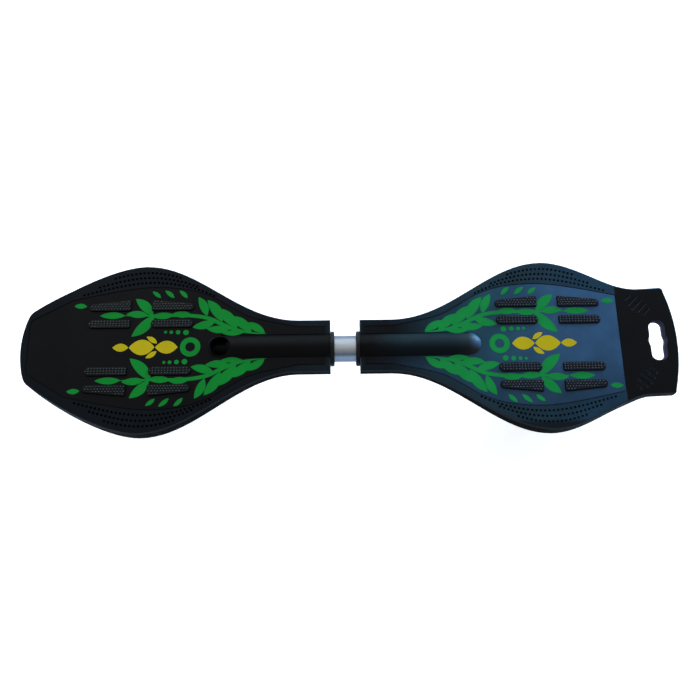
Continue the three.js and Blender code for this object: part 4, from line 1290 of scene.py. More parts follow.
    def dimples(self) -> Form:
        """Gives the rows of round dimples in the band between groove and edge."""
        edge, panel = self.side(), self.panel_side()
        centres: list[Vector] = []
        for share, start, end in self.dimple_rows:
            row = []
            for step in range(start, end + 1):
                outer, inner = (Vector((step * MM, height_at(path, step * MM), 0)) for path in (edge, panel))
                row.append(outer.lerp(inner, share))
            centres.extend(stations(row, self.dimple_pitch))
        height = self.board.platform_z + (OVERCUT - self.dimple_depth) / 2
        tip = self.dimple_radius * self.dimple_tip_share
        mouth = self.dimple_radius * self.dimple_mouth_share
        dimples = Form()
        for point in centres:
            for sign in (-1, 1):
                place = Matrix.Translation((point.x, sign * point.y, height))
                bmesh.ops.create_cone(dimples.mesh, cap_ends=True, segments=14, radius1=tip, radius2=mouth,
                                      depth=self.dimple_depth + OVERCUT, matrix=place)
        return dimples

    def tail(self, form: Form) -> Form:
        """Cuts the carry slot and the grip grooves into the tail.

        Args:
            form: The deck without them.

        Returns:
            The deck with them, and with a wall round the slot.
        """
        top, slot = self.board.platform_z, self.slot_ring()
        walls = Form.slab(slot, top - self.slot_wall_depth, top - self.skin / 2, -self.slot_wall)
        walls = walls.within(Form.slab(self.ring(), top - self.skirt, top, self.wall / 2))
        return form.joined(walls).cut(Form.slab(slot, 0, 2 * top), self.slot_lead(slot), self.grip_grooves())

    def slot_ring(self) -> list[Vector]:
        """Gives the carry slot's outline, with a shallow finger bulge on both long sides."""
        centre = self.reach - self.slot_back
        straight = self.slot_length / 2 - self.slot_half
        steps, turn = 36, 18

        def width(y: float) -> float:
            """Gives half of the slot's width at a place across the board."""
            along = min(1.0, abs(y) / self.slot_bulge_reach)
            return self.slot_half + self.slot_bulge * (1 + math.cos(HALF_TURN * along)) / 2

        edge = [-straight + 2 * straight * step / steps for step in range(steps + 1)]
        radius = width(straight)
        ring = []
        for sign in (1, -1):
            ring.extend(Vector((centre + sign * width(y), sign * y, 0)) for y in edge)
            for step in range(1, turn):
                angle = HALF_TURN * step / turn
                across, beyond = radius * math.cos(angle), straight + radius * math.sin(angle)
                ring.append(Vector((centre + sign * across, sign * beyond, 0)))
        return ring

    def slot_lead(self, slot: Plan) -> Form:
        """Gives the rounded lead-in of the slot's upper rim, widest on the tail side.

        Args:
            slot: The slot's outline.

        Returns:
            The cutter.
        """
        top, centre = self.board.platform_z, self.reach - self.slot_back
        form = Form.slab(slot, top - self.slot_lead_floor, top + OVERCUT)
        for step in range(self.slot_lead_steps + 1):
            drop = self.slot_lead_depth * (1 - step / self.slot_lead_steps)
            share = 1 - math.sqrt(max(0.0, 1 - (1 - drop / self.slot_lead_depth) ** 2))
            grow = max(self.slot_lead_least, self.slot_lead_width * share)
            cutter = Form.slab(slot, top - drop, top + OVERCUT, -grow)
            for vert in cutter.mesh.verts:
                if vert.co.x > centre:
                    vert.co.x += self.slot_lead_shift * share
            form = form.joined(cutter)
        return form

    def grip_grooves(self) -> Form:
        """Gives the five slanting grip grooves on each side of the tail."""
        top, half = self.board.platform_z, self.grip_half
        back, across = self.grip_middle
        one_side = []
        for index, length in enumerate(self.grip_lengths):
            reach = length / 2
            corners = [Vector((-reach, -half, 0)), Vector((reach, -half, 0)), Vector((reach, half, 0)),
                       Vector((-reach, half, 0))]
            ring = rounded(corners, [half * self.grip_round_share] * 4, 6)
            groove = Form.slab(ring, top - self.grip_depth, top + self.grip_overcut)
            for vert in groove.mesh.verts:
                if vert.co.z < top:
                    vert.co.y *= self.grip_floor_share
                    vert.co.x -= math.copysign(half * self.grip_slope_share, vert.co.x)
            step = (index - (len(self.grip_lengths) - 1) / 2) * self.grip_pitch * math.sqrt(0.5)
            place = Matrix.Translation((self.reach - back + step, across - step, 0))
            one_side.append(groove.moved(place @ Matrix.Rotation(QUARTER_TURN / 2, 4, "Z")))
        return Form.gathered(one_side).on_both_sides()

    def lifted(self, form: Form) -> Form:
        """Raises the far end from a crease that runs straight across.

        Args:
            form: The level deck.

        Returns:
            The same form, kicked up.
        """
        mesh = form.mesh
        geometry = mesh.verts[:] + mesh.edges[:] + mesh.faces[:]
        bmesh.ops.bisect_plane(mesh, geom=geometry, dist=0.001 * MM, plane_co=(self.kick, 0, 0),
                               plane_no=Axis.X.value)
        for vert in mesh.verts:
            vert.co.z += max(0.0, vert.co.x - self.kick) * self.slope
        return form

    def build(self, shop: Workshop) -> None:
        """Builds and finishes the deck.

        Args:
            shop: The workshop that finishes pieces.
        """
        whole = self.shell().joined(self.underside(), self.ridge())
        whole = whole.cut(self.bores(), self.pockets(), self.groove(), self.creases(), self.dimples())
        if self.end is End.REAR:
            whole = self.tail(whole)
        whole = self.lifted(whole)
        self.mark_faces(whole)
        whole.moved(self.board.half(self.end))
        # The rear deck's finishes hold a painted slate sheen and painted shade.
        rim, panel = (FRONT_RIM, FRONT_PANEL) if self.end is End.FRONT else (REAR_RIM, REAR_PANEL)
        end = self.end.value
        shop.finish(whole, f"{end}_deck_moulding", rim, f"{end}_half", f"{end}_deck",
                    marked=(panel, EDGE, RIDGE, CUTOUT, UNDERSIDE))
        self.build_pads(shop)

    def by_cutout(self, point: Vector, normal: Vector, below: float) -> bool:
        """Tells whether a face lines a grip groove or the carry slot.

        Args:
            point: The face's middle.
            normal: Its outward direction.
            below: How far it lies below the tail's upper side.

        Returns:
            True for the walls of both and for the slot's lead-in.
        """
        by_slot = abs(point.y) < self.slot_zone[1]
        back, wide = self.slot_zone if by_slot else self.grip_zone
        level = normal.z > LEVEL and not (by_slot and below > self.flush)
        if self.end is End.FRONT or not 0 < below < self.cutout_depth or normal.z < self.cutout_tilt or level:
            return False
        out = point - Vector((self.reach - self.slot_back, 0, point.z))
        if below > self.cutout_rim and out.dot(normal) > 0:
            return False
        return self.reach - self.tail_zone < point.x < self.reach - back and abs(point.y) < wide

    def in_hollow(self, point: Vector, edge: Plan) -> bool:
        """Tells whether a point lies within the hollow below the deck, away from the bolt well.

        Args:
            point: The point.
            edge: One side of the deck's outline.

        Returns:
            True within the hollow.
        """
        end_border, side_border = self.hollow_border
        long, wide = self.well_zone
        by_well = abs(point.x - self.ridge_centre) < long and abs(point.y) < wide
        along = self.board.neck_end + OVERCUT < point.x < self.reach - end_border
        return along and not by_well and abs(point.y) < height_at(edge, point.x) - side_border

    def mark_faces(self, form: Form) -> None:
        """Marks each face with its finish; the edge, ridge and cut-out finishes hold painted highlights and
        painted shade.

        Args:
            form: The deck, drawn from the gap outwards.
        """
        side, edge, top = self.panel_side(), self.side(), self.board.platform_z
        ridge_end = self.ridge_centre + self.ridge_radius
        bmesh.ops.triangulate(form.mesh, faces=form.mesh.faces[:])
        form.mesh.normal_update()
        for face in form.mesh.faces:
            middle = face.calc_center_median()
            below = top + max(0.0, middle.x - self.kick) * self.slope - middle.z
            within = side[0].x < middle.x < side[-1].x and middle.z > top - MM
            if within and abs(middle.y) < height_at(side, middle.x):
                # The rear ridge is given its painted sheen, highlight and shade.
                raised = middle.x < ridge_end and middle.z > top + self.flush
                face.material_index = Mark.RIDGE if raised and self.end is End.REAR else Mark.PANEL
            # The cut-out walls get the painted highlight.
            elif self.by_cutout(middle, face.normal, below):
                face.material_index = Mark.CUTOUT
            elif below > self.wall and self.in_hollow(middle, edge):
                face.material_index = Mark.UNDERSIDE
            # The rounded top edge gets the painted edge highlight.
            elif 0 < below < self.edge_round and self.edge_tilt < face.normal.z < LEVEL:
                face.material_index = Mark.EDGE

    def build_pads(self, shop: Workshop) -> None:
        """Builds the eight grip pads with their nubs.

        Args:
            shop: The workshop that finishes pieces.
        """
        pads, top = self.pads, self.board.platform_z
        high = top + pads.height
        rubber = FRONT_GRIP if self.end is End.FRONT else REAR_GRIP
        for name in PAD_NAMES:
            base = pads.form(name, self.kick, top - pads.pocket + self.board.gap, high - pads.nub_rise)
            base.softened(pads.edge, 3, 60.0, where=lambda middle: middle.z > top)
            nubs = pads.nub_places(name, self.kick, high - pads.nub_radius)
            pad = base.joined(Form.balls(nubs, pads.nub_radius, 2))
            for form, is_left in ((pad, self.end is End.FRONT), (pad.mirrored(), self.end is End.REAR)):
                node = f"{self.end.value}_{'left' if is_left else 'right'}_{name}_pad"
                shop.finish(form.moved(self.board.half(self.end)), f"{node}_rubber", rubber,
                            f"{self.end.value}_half", node, smooth_deg=40)


def smooth_line(knots: Plan, steps: int) -> list[Vector]:
    """Gives a smooth line through knots.

    Args:
        knots: The points that it passes.
        steps: Edges between two knots.

    Returns:
        The line's points.
    """
    line = [knots[0].copy()]
    for index, (start, end) in enumerate(zip(knots, knots[1:], strict=False)):
        before = knots[max(0, index - 1)]
        after = knots[min(len(knots) - 1, index + 2)]
        first = start + (end - before) / 6
        second = end - (after - start) / 6
        line.extend(interpolate_bezier(start, first, second, end, steps + 1)[1:])
    return line


def opposite(side: Plan) -> list[Vector]:
    """Gives one side of an outline mirrored over the board's long axis."""
    return [Vector((point.x, -point.y, 0)) for point in side]


# Print


@dataclass
class Print:
    """A generic leaf-and-petal print on a deck, the same on both sides of its long axis."""

    deck: Deck
    thickness: float = 0.12 * MM
    margin: float = 0.9 * MM

    def slab(self, ring: Plan) -> Form:
        """Gives a thin slab of ink on the platform."""
        top = self.deck.board.platform_z
        return Form.slab(ring, top, top + self.thickness)

    def leaf(self, x: float, y: float, angle_deg: float, length: float, width: float,
             bend: float = 0.0) -> Form:
        """Gives one pointed leaf, in millimetres.

        Args:
            x: Place of its stalk along the deck.
            y: Place of its stalk across.
            angle_deg: The way it points, from +X.
            length: Its length.
            width: Its width.
            bend: How far its middle swings to one side.

        Returns:
            The leaf.
        """
        near, far = 0.32 * length, 0.72 * length
        swing = width * 2 / 3
        upper = swept([(0, 0), (near, swing + bend), (far, swing * 0.8 + bend), (length, 0)], 12)
        lower = swept([(length, 0), (far, -swing * 0.8 + bend), (near, -swing + bend), (0, 0)], 12)
        place = Matrix.Translation(flat(x, y)) @ Matrix.Rotation(math.radians(angle_deg), 4, "Z")
        return self.slab([place @ point for point in reversed([*upper[:-1], *lower[:-1]])])

    def disc(self, x: float, y: float, radius: float, hole: float = 0.0) -> Form:
        """Gives a dot, or a ring if it has a hole, in millimetres.

        Args:
            x: Its place along the deck.
            y: Its place across.
            radius: Its radius.
            hole: The hole's radius.

        Returns:
            The dot or the ring.
        """
        top, place = self.deck.board.platform_z, flat(x, y)
        dot = Form.rod(radius * MM, top, top + self.thickness, Axis.Z, 40, place)
        return dot.cut(Form.rod(hole * MM, 0, BEYOND, Axis.Z, 40, place)) if hole else dot

    def stem(self) -> Form:
        """Gives the long tapered stem that carries the leaves."""
        outer = swept([(103, 17.2), (132, 20), (150, 27), (171, 38.5), (186, 46.5), (206, 47.6), (232, 47),
                       (258, 46.4), (280, 46), (298, 45.4)], 14)
        inner = swept([(298, 45.0), (280, 44), (258, 43.2), (232, 42.8), (206, 42.6), (186, 41), (173, 33.5),
                       (153, 21.5), (134, 17.2), (108, 17)], 14)
        return self.slab([*reversed(inner), *reversed(outer)])

    def leaves(self) -> list[Form]:
        """Gives the leaves of one side."""
        rows = (
            (106, 18.2, 30, 30, 11.5, 1.4), (124, 20.5, 38, 36, 14, 2.0), (143, 26, 45, 40, 15.5, 2.4),
            (163, 35, 56, 38, 15, 2.6), (184, 43.5, 66, 30, 12.5, 2.0), (134, 20, -1, 30, 8.5, -1.2),
            (152, 25.5, 0, 32, 11.5, -1.8), (172, 36.5, -16, 32, 12.5, -2.0), (204, 45, 3, 27, 10.5, 0.6),
            (228, 45.3, -2, 30, 10.5, -0.6), (256, 45.5, 44, 34, 14.5, 2.0), (254, 45.5, -46, 42, 16, -2.6),
            (262, 45.2, 4, 30, 11, 0.8), (293, 45.2, 0, 34, 10.5, 0.5), (345, 59, 2, 17, 8, 0.3),
            (211, 69.6, 44, 16, 6.5, 0.7), (229, 70, 40, 17, 6.5, 0.7), (247, 70.4, 38, 15, 6, 0.6),
        )
        return [self.leaf(*row) for row in rows]

    def dots(self) -> list[Form]:
        """Gives the berries of one side."""
        places = (211, 20.4, 3.7), (221.5, 20.8, 3.1), (230.5, 21, 2.5), (238, 21.2, 2.0)
        return [self.disc(*place) for place in places]

    def petals(self) -> list[Form]:
        """Gives the yellow petals along the middle."""
        return [
            self.leaf(221, 0, 0, 30, 20), self.leaf(251.5, 0, 0, 34, 24), self.leaf(286, 0, 0, 21, 12.5),
            self.leaf(248.5, 5.4, 34, 17, 7.5, 0.8), self.leaf(248.5, -5.4, -34, 17, 7.5, -0.8),
        ]

    def build(self, shop: Workshop) -> None:
        """Builds the green and the yellow print, the green one clear of the grip pads.

        Args:
            shop: The workshop that finishes pieces.
        """
        end, top = self.deck.end, self.deck.board.platform_z
        one_side = self.stem().joined(*self.leaves()).joined(*self.dots())
        green = one_side.joined(one_side.mirrored(), self.disc(204.5, 0, 13.5, 6.5))
        green = green.cut(self.deck.over_pads(top - OVERCUT, top + OVERCUT, self.margin))
        first, *others = self.petals()
        green_ink = GREEN if end is End.FRONT else PALE_GREEN
        for form, name, finish in ((green, "green", green_ink), (first.joined(*others), "yellow", YELLOW)):
            form.moved(self.deck.board.half(end))
            shop.finish(form, f"{end.value}_{name}_print", finish, f"{end.value}_half")


# Torsion joint


@dataclass
class TorsionJoint:
    """The silver tube between the decks, its collars, plug, anchor and screws."""

    board: Board
    tube_wall: float = 2.5 * MM
    tube_edge: float = 0.4 * MM
    collar_radius: float = 23.5 * MM
    collar_flange: float = 5 * MM
    collar_chamfer: float = 1.4 * MM
    collar_rebate: tuple[float, float] = (1.2 * MM, 0.8 * MM)
    collar_edge: float = 0.25 * MM
    stub: float = 14 * MM
    stub_overlap: float = 3 * MM
    flange_edge: float = 0.6 * MM
    plug_hole: float = 4.3 * MM
    plug_hole_top: float = 5.3 * MM
    head_edge: float = 0.4 * MM
    sides: int = 72

    def tube(self) -> Form:
        """Gives the tube with its eased ends."""
        outer, end = self.board.tube_radius, self.board.tube_end
        inner = outer - self.tube_wall
        profile = [(inner, -end), (outer, -end), (outer, end), (inner, end)]
        return Form.turned(profile, Axis.X, self.sides, self.tube_edge)

    def collar(self) -> Form:
        """Gives a flanged collar with its chamfered rim and a shallow rebate at the tube."""
        board, outer = self.board, self.collar_radius
        bore = board.tube_radius + board.gap
        sleeve, sleeve_end = bore + board.sleeve_wall, board.neck_end + board.sleeve
        end = board.neck_end - board.gap
        start = end - self.collar_flange
        wide, deep = self.collar_rebate
        profile = [
            (bore, start + deep), (bore + wide, start), (outer - self.collar_chamfer, start),
            (outer, start + self.collar_chamfer), (outer, end), (sleeve, end), (sleeve, sleeve_end),
            (bore, sleeve_end),
        ]
        return Form.turned(profile, Axis.X, self.sides, self.collar_edge)

    def flanged_stub(self, radius: float, width: float) -> Form:
        """Gives a stub that fits into the tube's end, with a flange outside it.

        Args:
            radius: The flange's radius.
            width: The flange's width.

        Returns:
            The stub and its flange.
        """
        board = self.board
        start = board.tube_end + board.gap
        stub = Form.rod(board.tube_radius - self.tube_wall - board.gap, board.tube_end - self.stub,
                        start + self.stub_overlap, Axis.X, 48)
        return stub.joined(Form.rod(radius, start, start + width, Axis.X, 64).softened(self.flange_edge))

    def plug(self) -> Form:
        """Gives the plug that closes the tube and shows as a rod in the well."""
        board = self.board
        start = board.tube_end + board.gap + self.stub_overlap
        rod = Form.rod(board.rod_radius, start, board.rod_end, Axis.X, 48).softened(self.flange_edge)
        place = Vector((PLUG_BOLT.along, 0, 0))
        hole = Form.rod(self.plug_hole, -2 * board.rod_radius, self.plug_hole_top, Axis.Z, 24, place)
        return self.flanged_stub(board.tube_radius, board.plug_flange).joined(rod).cut(hole)

    def cap_screw(self, screw: Screw) -> Form:
        """Gives a cap screw with its hex socket, about the tube's axis.

        Args:
            screw: Its sizes.

        Returns:
            The screw.
        """
        board, radius = self.board, screw.radius
        seat = -board.housing_radius + board.screw_flat - board.gap
        shank = Form.rod(radius, seat - radius / 2, screw.tip, Axis.Z, 24)
        head = Form.rod(2 * radius, seat - radius, seat, Axis.Z, 32).softened(self.head_edge)
        socket = Form.rod(radius, 2 * seat, seat - radius / 2, Axis.Z, 6)
        return head.joined(shank).cut(socket)

    def build(self, shop: Workshop) -> None:
        """Builds the joint's pieces.

        Args:
            shop: The workshop that finishes pieces.
        """
        board, front, rear = self.board, End.FRONT, End.REAR
        anchor = self.flanged_stub(board.anchor_radius, board.anchor_flange)
        pieces = [(self.tube(), board.on_axis(rear), "torsion_tube", "silver", TUBE, front)]
        pieces += [(self.collar(), board.on_axis(end), f"{end.value}_collar", "ring", NYLON, end)
                   for end in End]
        pieces += [(self.plug(), board.on_axis(front), "front_plug", "rod", PLUG_NYLON, front),
                   (anchor, board.on_axis(rear), "rear_anchor", "stub", NYLON, rear)]
        pieces += [(self.cap_screw(screw), board.on_axis(screw.end, screw.along), screw.name, "zinc", ZINC,
                    screw.end) for screw in SCREWS]
        for form, place, node, word, finish, end in pieces:
            shop.finish(form.moved(place), f"{node}_{word}", finish, f"{end.value}_half", node)


# Casters


@dataclass
class Caster:
    """A leaning trailing caster with its wheel, in a frame that stands on the swivel axis."""

    board: Board
    end: End
    plate_radius: float = 29 * MM
    plate_thickness: float = 3 * MM
    race_outer: float = 17 * MM
    race_inner: float = 8 * MM
    race_thickness: float = 3 * MM
    ball_radius: float = 2.4 * MM
    ball_circle: float = 12.5 * MM
    king_radius: float = 5 * MM
    hex_across: float = 17 * MM
    fork_half: float = 20 * MM
    fork_thickness: float = 4 * MM
    crown: float = 4.5 * MM
    axle_depth: float = 62 * MM
    axle_offset: float = 22 * MM
    axle_radius: float = 3.95 * MM
    wheel_radius: float = 38 * MM
    wheel_half: float = 12 * MM
    tyre_inner: float = 27 * MM
    bearing_radius: float = 11 * MM
    bearing_bore: float = 4.25 * MM
    bearing_width: float = 7 * MM
    spacer_radius: float = 6.5 * MM
    plate_edge: float = 0.6 * MM
    screw_circle: float = 23.6 * MM
    screw_radius: float = 4.2 * MM
    screw_head: float = 2.6 * MM
    screw_edge: float = 0.45 * MM
    socket_radius: float = 2.4 * MM
    socket_depth: float = 1.4 * MM
    ball_sink: float = 1 * MM
    race_groove: tuple[float, float] = (1.9 * MM, 0.75 * MM)
    cage_half: tuple[float, float] = (2 * MM, 0.6 * MM)
    shoulder_radius: float = 8 * MM
    fork_edge: float = 0.5 * MM
    leg_front: float = 17 * MM
    leg_toe: float = 10 * MM
    foot_corner: float = 0.1 * MM
    king_head: float = 5.5 * MM
    king_overlap: float = 2.8 * MM
    axle_hex: float = 13 * MM
    nut_height: float = 5 * MM
    nut_overlap: float = 3 * MM
    thread_pitch: float = 1.25 * MM
    thread_depth: float = 0.45 * MM
    crown_reach: float = 4 * MM
    crown_width: float = 8 * MM
    tyre_edge: float = 0.4 * MM
    hub_wall: float = 3.6 * MM
    hub_rim: float = 4.4 * MM
    hub_web: float = 3.4 * MM
    hub_stop: float = 1.8 * MM
    hub_edge: float = 0.35 * MM
    window_share: float = 0.68
    windows: int = 6
    shield_depth: float = 0.6 * MM
    shield_edge: float = 0.3 * MM
    bearing_edge: float = 0.12 * MM
    spacer_edge: float = 0.2 * MM
    round_sides: int = 32
    turned_steps: int = 56

    def __post_init__(self) -> None:
        """Works out the heights of the stack, from the base plate down."""
        gap = self.board.gap
        self.plate_bottom: float = -gap - self.plate_thickness
        self.race_bottom: float = self.plate_bottom - gap - self.race_thickness
        self.ball_z: float = self.race_bottom - (self.ball_radius - self.ball_sink + gap)
        self.lower_race_top: float = 2 * self.ball_z - self.race_bottom
        self.crown_top: float = self.lower_race_top - self.race_thickness - gap
        self.crown_bottom: float = self.crown_top - self.crown

    def hex_nut(self, across: float, low: float, high: float, axis: Axis) -> Form:
        """Gives a hexagon whose corners are turned off at both faces.

        Args:
            across: Size across its flats.
            low: Place of one face along the axis.
            high: Place of the other face.
            axis: The axis of its bore.

        Returns:
            The solid hexagon.
        """
        corner = across / math.sqrt(3)
        blank = Form.rod(corner, low, high, axis, 6)
        ease, core = corner - across / 2, 0.001 * MM
        profile = [(core, low), (across / 2, low), (corner, low + ease), (corner, high - ease),
                   (across / 2, high), (core, high)]
        turned = Form.turned(profile, axis, 48)
        return blank.within(turned.joined(Form.rod(MM, low, high, axis, 12)))

    def threaded(self, radius: float, low: float, high: float, axis: Axis) -> Form:
        """Gives the threaded end of a bolt as a row of fine ridges.

        Args:
            radius: Its radius over the ridges.
            low: Place of one end along the axis.
            high: Place of the other end.
            axis: The bolt's axis.

        Returns:
            The threaded end.
        """
        count = max(1, int(abs(high - low) / self.thread_pitch))
        step, root, core = (high - low) / count, radius - self.thread_depth, 0.2 * MM
        profile = [(core, low), (root, low)]
        for index in range(count):
            profile += [(radius, low + step * (index + 0.5)), (root, low + step * (index + 1))]
        thread = Form.turned([*profile, (core, high)], axis, 32)
        return thread.joined(Form.rod(radius / 2, low, high, axis, 12))

    def bored(self, form: Form, radius: float, axis: Axis = Axis.Z, through: Vector | None = None) -> Form:
        """Gives a form with a round hole right through it."""
        return form.cut(Form.rod(radius, -BEYOND, BEYOND, axis, self.round_sides, through))

    def base_plate(self) -> Form:
        """Gives the round plate with its four cap screws."""
        disc = Form.rod(self.plate_radius, self.plate_bottom, -self.board.gap, Axis.Z, 72)
        plate = self.bored(disc.softened(self.plate_edge), self.king_radius + self.board.gap)
        low = self.plate_bottom - self.screw_head
        for index in range(4):
            angle = (index + 0.5) * QUARTER_TURN
            place = Vector((math.cos(angle), math.sin(angle), 0)) * self.screw_circle
            head = Form.rod(self.screw_radius, low, -self.plate_thickness, Axis.Z, 28, place)
            socket = Form.rod(self.socket_radius, 2 * low, low + self.socket_depth, Axis.Z, 6, place)
            plate = plate.joined(head.softened(self.screw_edge)).cut(socket)
        return plate

    def race(self, face: float, back: float) -> Form:
        """Gives a race ring whose ball groove opens at one face.

        Args:
            face: Height of that face.
            back: Height of the other.

        Returns:
            The ring.
        """
        half, deep = self.race_groove
        inward = math.copysign(deep, back - face)
        groove = [(self.ball_circle + half * math.cos(angle), face + inward * math.sin(angle))
                  for angle in (HALF_TURN * step / 8 for step in range(8, -1, -1))]
        profile = [(self.race_inner, face), *groove, (self.race_outer, face), (self.race_outer, back),
                   (self.race_inner, back)]
        return Form.turned(profile, Axis.Z, self.turned_steps)

    def ball_ring(self) -> Form:
        """Gives the balls in their cage."""
        wide, high = self.cage_half
        corners = (-1, -1), (1, -1), (1, 1), (-1, 1)
        profile = [(self.ball_circle + out * wide, self.ball_z + up * high) for out, up in corners]
        turns = [index * FULL_TURN / 8 for index in range(8)]
        centres = [Vector((self.ball_circle * math.cos(turn), self.ball_circle * math.sin(turn), self.ball_z))
                   for turn in turns]
        cage = Form.turned(profile, Axis.Z, self.turned_steps)
        return cage.joined(Form.balls(centres, self.ball_radius, 3))

    def fork(self) -> Form:
        """Gives the pressed fork: an arch from the front, trimmed to its legs from the side."""
        foot = -self.axle_depth - 2 * self.leg_toe
        inner = self.fork_half - self.fork_thickness
        arch = self.arch(self.fork_half, self.crown_top, self.shoulder_radius, foot)
        hollow = self.arch(inner, self.crown_bottom, self.shoulder_radius - self.fork_thickness, 1.1 * foot)
        form = arch.cut(hollow).within(self.leg_outline()).softened(self.fork_edge, 2, 40.0)
        form = self.bored(form, self.king_radius + self.board.gap)
        return self.bored(form, self.bearing_bore, Axis.Y, Vector((self.axle_offset, 0, -self.axle_depth)))

    def arch(self, half: float, top: float, shoulder: float, foot: float) -> Form:
        """Gives a solid arch seen from the front, long enough to be trimmed from the side.

        Args:
            half: Half of its width.
            top: Height of its crown.
            shoulder: Radius of its shoulders.
            foot: Height of its open end.

        Returns:
            The arch.
        """
        corners = [Vector((-half, foot, 0)), Vector((half, foot, 0)), Vector((half, top, 0)),
                   Vector((-half, top, 0))]
        ring = rounded(corners, [self.foot_corner, self.foot_corner, shoulder, shoulder], 6)
        turn = Matrix(((0, 0, 1, 0), (1, 0, 0, 0), (0, 1, 0, 0), (0, 0, 0, 1)))
        return Form.slab(ring, -2 * self.plate_radius, 2 * self.plate_radius).moved(turn)

    def leg_outline(self) -> Form:
        """Gives the outline of the fork's legs from the side, as a wide slab."""
        front, toe, low = self.leg_front, self.leg_toe, self.crown_bottom
        x, z, waist = self.axle_offset, -self.axle_depth, (low - self.axle_depth) / 2
        top = self.crown_top + 2 * toe

        def curve(*corners: tuple[float, float]) -> list[Vector]:
            """Gives a curve between two points that bends towards a third, named between them."""
            start, pull, end = (Vector((*corner, 0)) for corner in corners)
            return interpolate_bezier(start, start.lerp(pull, 2 / 3), end.lerp(pull, 2 / 3), end, 15)

        toe_arc = [Vector((x + toe * math.cos(angle), z + toe * math.sin(angle), 0))
                   for angle in (HALF_TURN + HALF_TURN * step / 18 for step in range(1, 18))]
        ring = [Vector((front, top, 0)), Vector((-front, top, 0)),
                *curve((-front, low), (0, waist), (x - toe, z)), *toe_arc,
                *curve((x + toe, z), (x + toe, waist), (front, low))]
        turn = Matrix(((1, 0, 0, 0), (0, 0, -1, 0), (0, 1, 0, 0), (0, 0, 0, 1)))
        return Form.slab(ring, -2 * self.fork_half, 2 * self.fork_half).moved(turn)

    def tyre(self) -> Form:
        """Gives the urethane tyre with its round shoulders."""
        half, inner, ease, reach = self.wheel_half, self.tyre_inner, self.tyre_edge, self.crown_reach
        shoulder = []
        for angle in (QUARTER_TURN * step / 10 for step in range(11)):
            radius = self.wheel_radius - reach * (1 - math.sin(angle))
            shoulder.append((radius, -half + self.crown_width * (1 - math.cos(angle))))
        one_half = [(inner, -half + ease), (inner + ease, -half), *shoulder]
        return Form.turned(both_halves(one_half), Axis.Y, 96)

    def hub(self) -> Form:
        """Gives the wheel's core with its windows."""
        gap, half, web = self.board.gap, self.wheel_half, self.hub_web
        seat, rim_out = self.bearing_radius + gap, self.tyre_inner - gap
        boss, rim_in = seat + self.hub_wall, rim_out - self.hub_rim
        stop = half - self.bearing_width - gap
        one_half = [(seat - self.hub_stop, -stop), (seat, -stop), (seat, -half), (boss, -half), (boss, -web),
                    (rim_in, -web), (rim_in, -half), (rim_out, -half)]
        hub = Form.turned(both_halves(one_half), Axis.Y, 72, self.hub_edge)
        circle, window = (boss + rim_in) / 2, self.window_share * (rim_in - boss) / 2
        for index in range(self.windows):
            angle = index * FULL_TURN / self.windows
            place = Vector((circle * math.cos(angle), 0, circle * math.sin(angle)))
            hub = hub.cut(Form.rod(window, -half, half, Axis.Y, 20, place))
        return hub

    def bearing(self, sign: int) -> Form:
        """Gives a shielded ball bearing with its shield below the rings' faces.

        Args:
            sign: -1 for the left side of the wheel and 1 for the right.

        Returns:
            The bearing.
        """
        half, ease = self.bearing_width / 2, self.shield_edge
        bore, outer = self.bearing_bore, self.bearing_radius
        ring = (outer - bore) / 4
        shield = half - self.shield_depth
        one_half = [(bore, half), (bore + ring, half), (bore + ring, shield - ease),
                    (bore + ring + ease, shield), (outer - ring - ease, shield),
                    (outer - ring, shield - ease), (outer - ring, half), (outer, half)]
        form = Form.turned(both_halves(one_half), Axis.Y, self.turned_steps, self.bearing_edge)
        return form.moved(Matrix.Translation((0, sign * (self.wheel_half - half), 0)))

    def spacer(self, low: float, high: float) -> Form:
        """Gives a spacer ring on the axle, between two places along it."""
        profile = [(self.bearing_bore, low), (self.spacer_radius, low), (self.spacer_radius, high),
                   (self.bearing_bore, high)]
        return Form.turned(profile, Axis.Y, 40, self.spacer_edge)

    def build(self, shop: Workshop) -> None:
        """Builds the caster's pieces.

        Args:
            shop: The workshop that finishes pieces.
        """
        end, place = self.end.value, self.board.caster(self.end)
        axle = place @ Matrix.Translation((self.axle_offset, 0, -self.axle_depth))
        for at, pieces in ((place, self.head_pieces()), (axle, self.wheel_pieces())):
            for form, name, finish, body in pieces:
                shop.finish(form.moved(at), f"{end}_{name}_dressed", finish, f"{end}_{body}", f"{end}_{name}")

    def head_pieces(self) -> list[tuple[Form, str, Finish, str]]:
        """Gives plate, races, king bolt and fork, each with its name, finish and body."""
        gap, radius, across = self.board.gap, self.king_radius, self.hex_across
        nut_high = self.crown_bottom - gap
        nut_low = nut_high - self.nut_height
        thread_top = nut_low + self.nut_overlap
        head = self.hex_nut(across, 0, self.king_head, Axis.Z)
        shank = Form.rod(radius, thread_top, self.king_head - self.king_overlap, Axis.Z, self.round_sides)
        thread = self.threaded(radius, nut_low - 4 * gap, thread_top, Axis.Z)
        nut = self.bored(self.hex_nut(across, nut_low, nut_high, Axis.Z), radius + gap)
        lower_top = self.lower_race_top
        return [
            (self.base_plate(), "base_plate", ZINC, "half"),
            (self.race(self.race_bottom, self.plate_bottom - gap), "upper_race", BEARING, "half"),
            (self.ball_ring(), "ball_ring", BEARING, "caster"),
            (self.race(lower_top, lower_top - self.race_thickness), "lower_race", BEARING, "caster"),
            (head.joined(shank, thread), "king_bolt", ZINC, "half"),
            (nut, "king_nut", ZINC, "half"),
            (self.fork(), "fork", ZINC, "caster"),
        ]

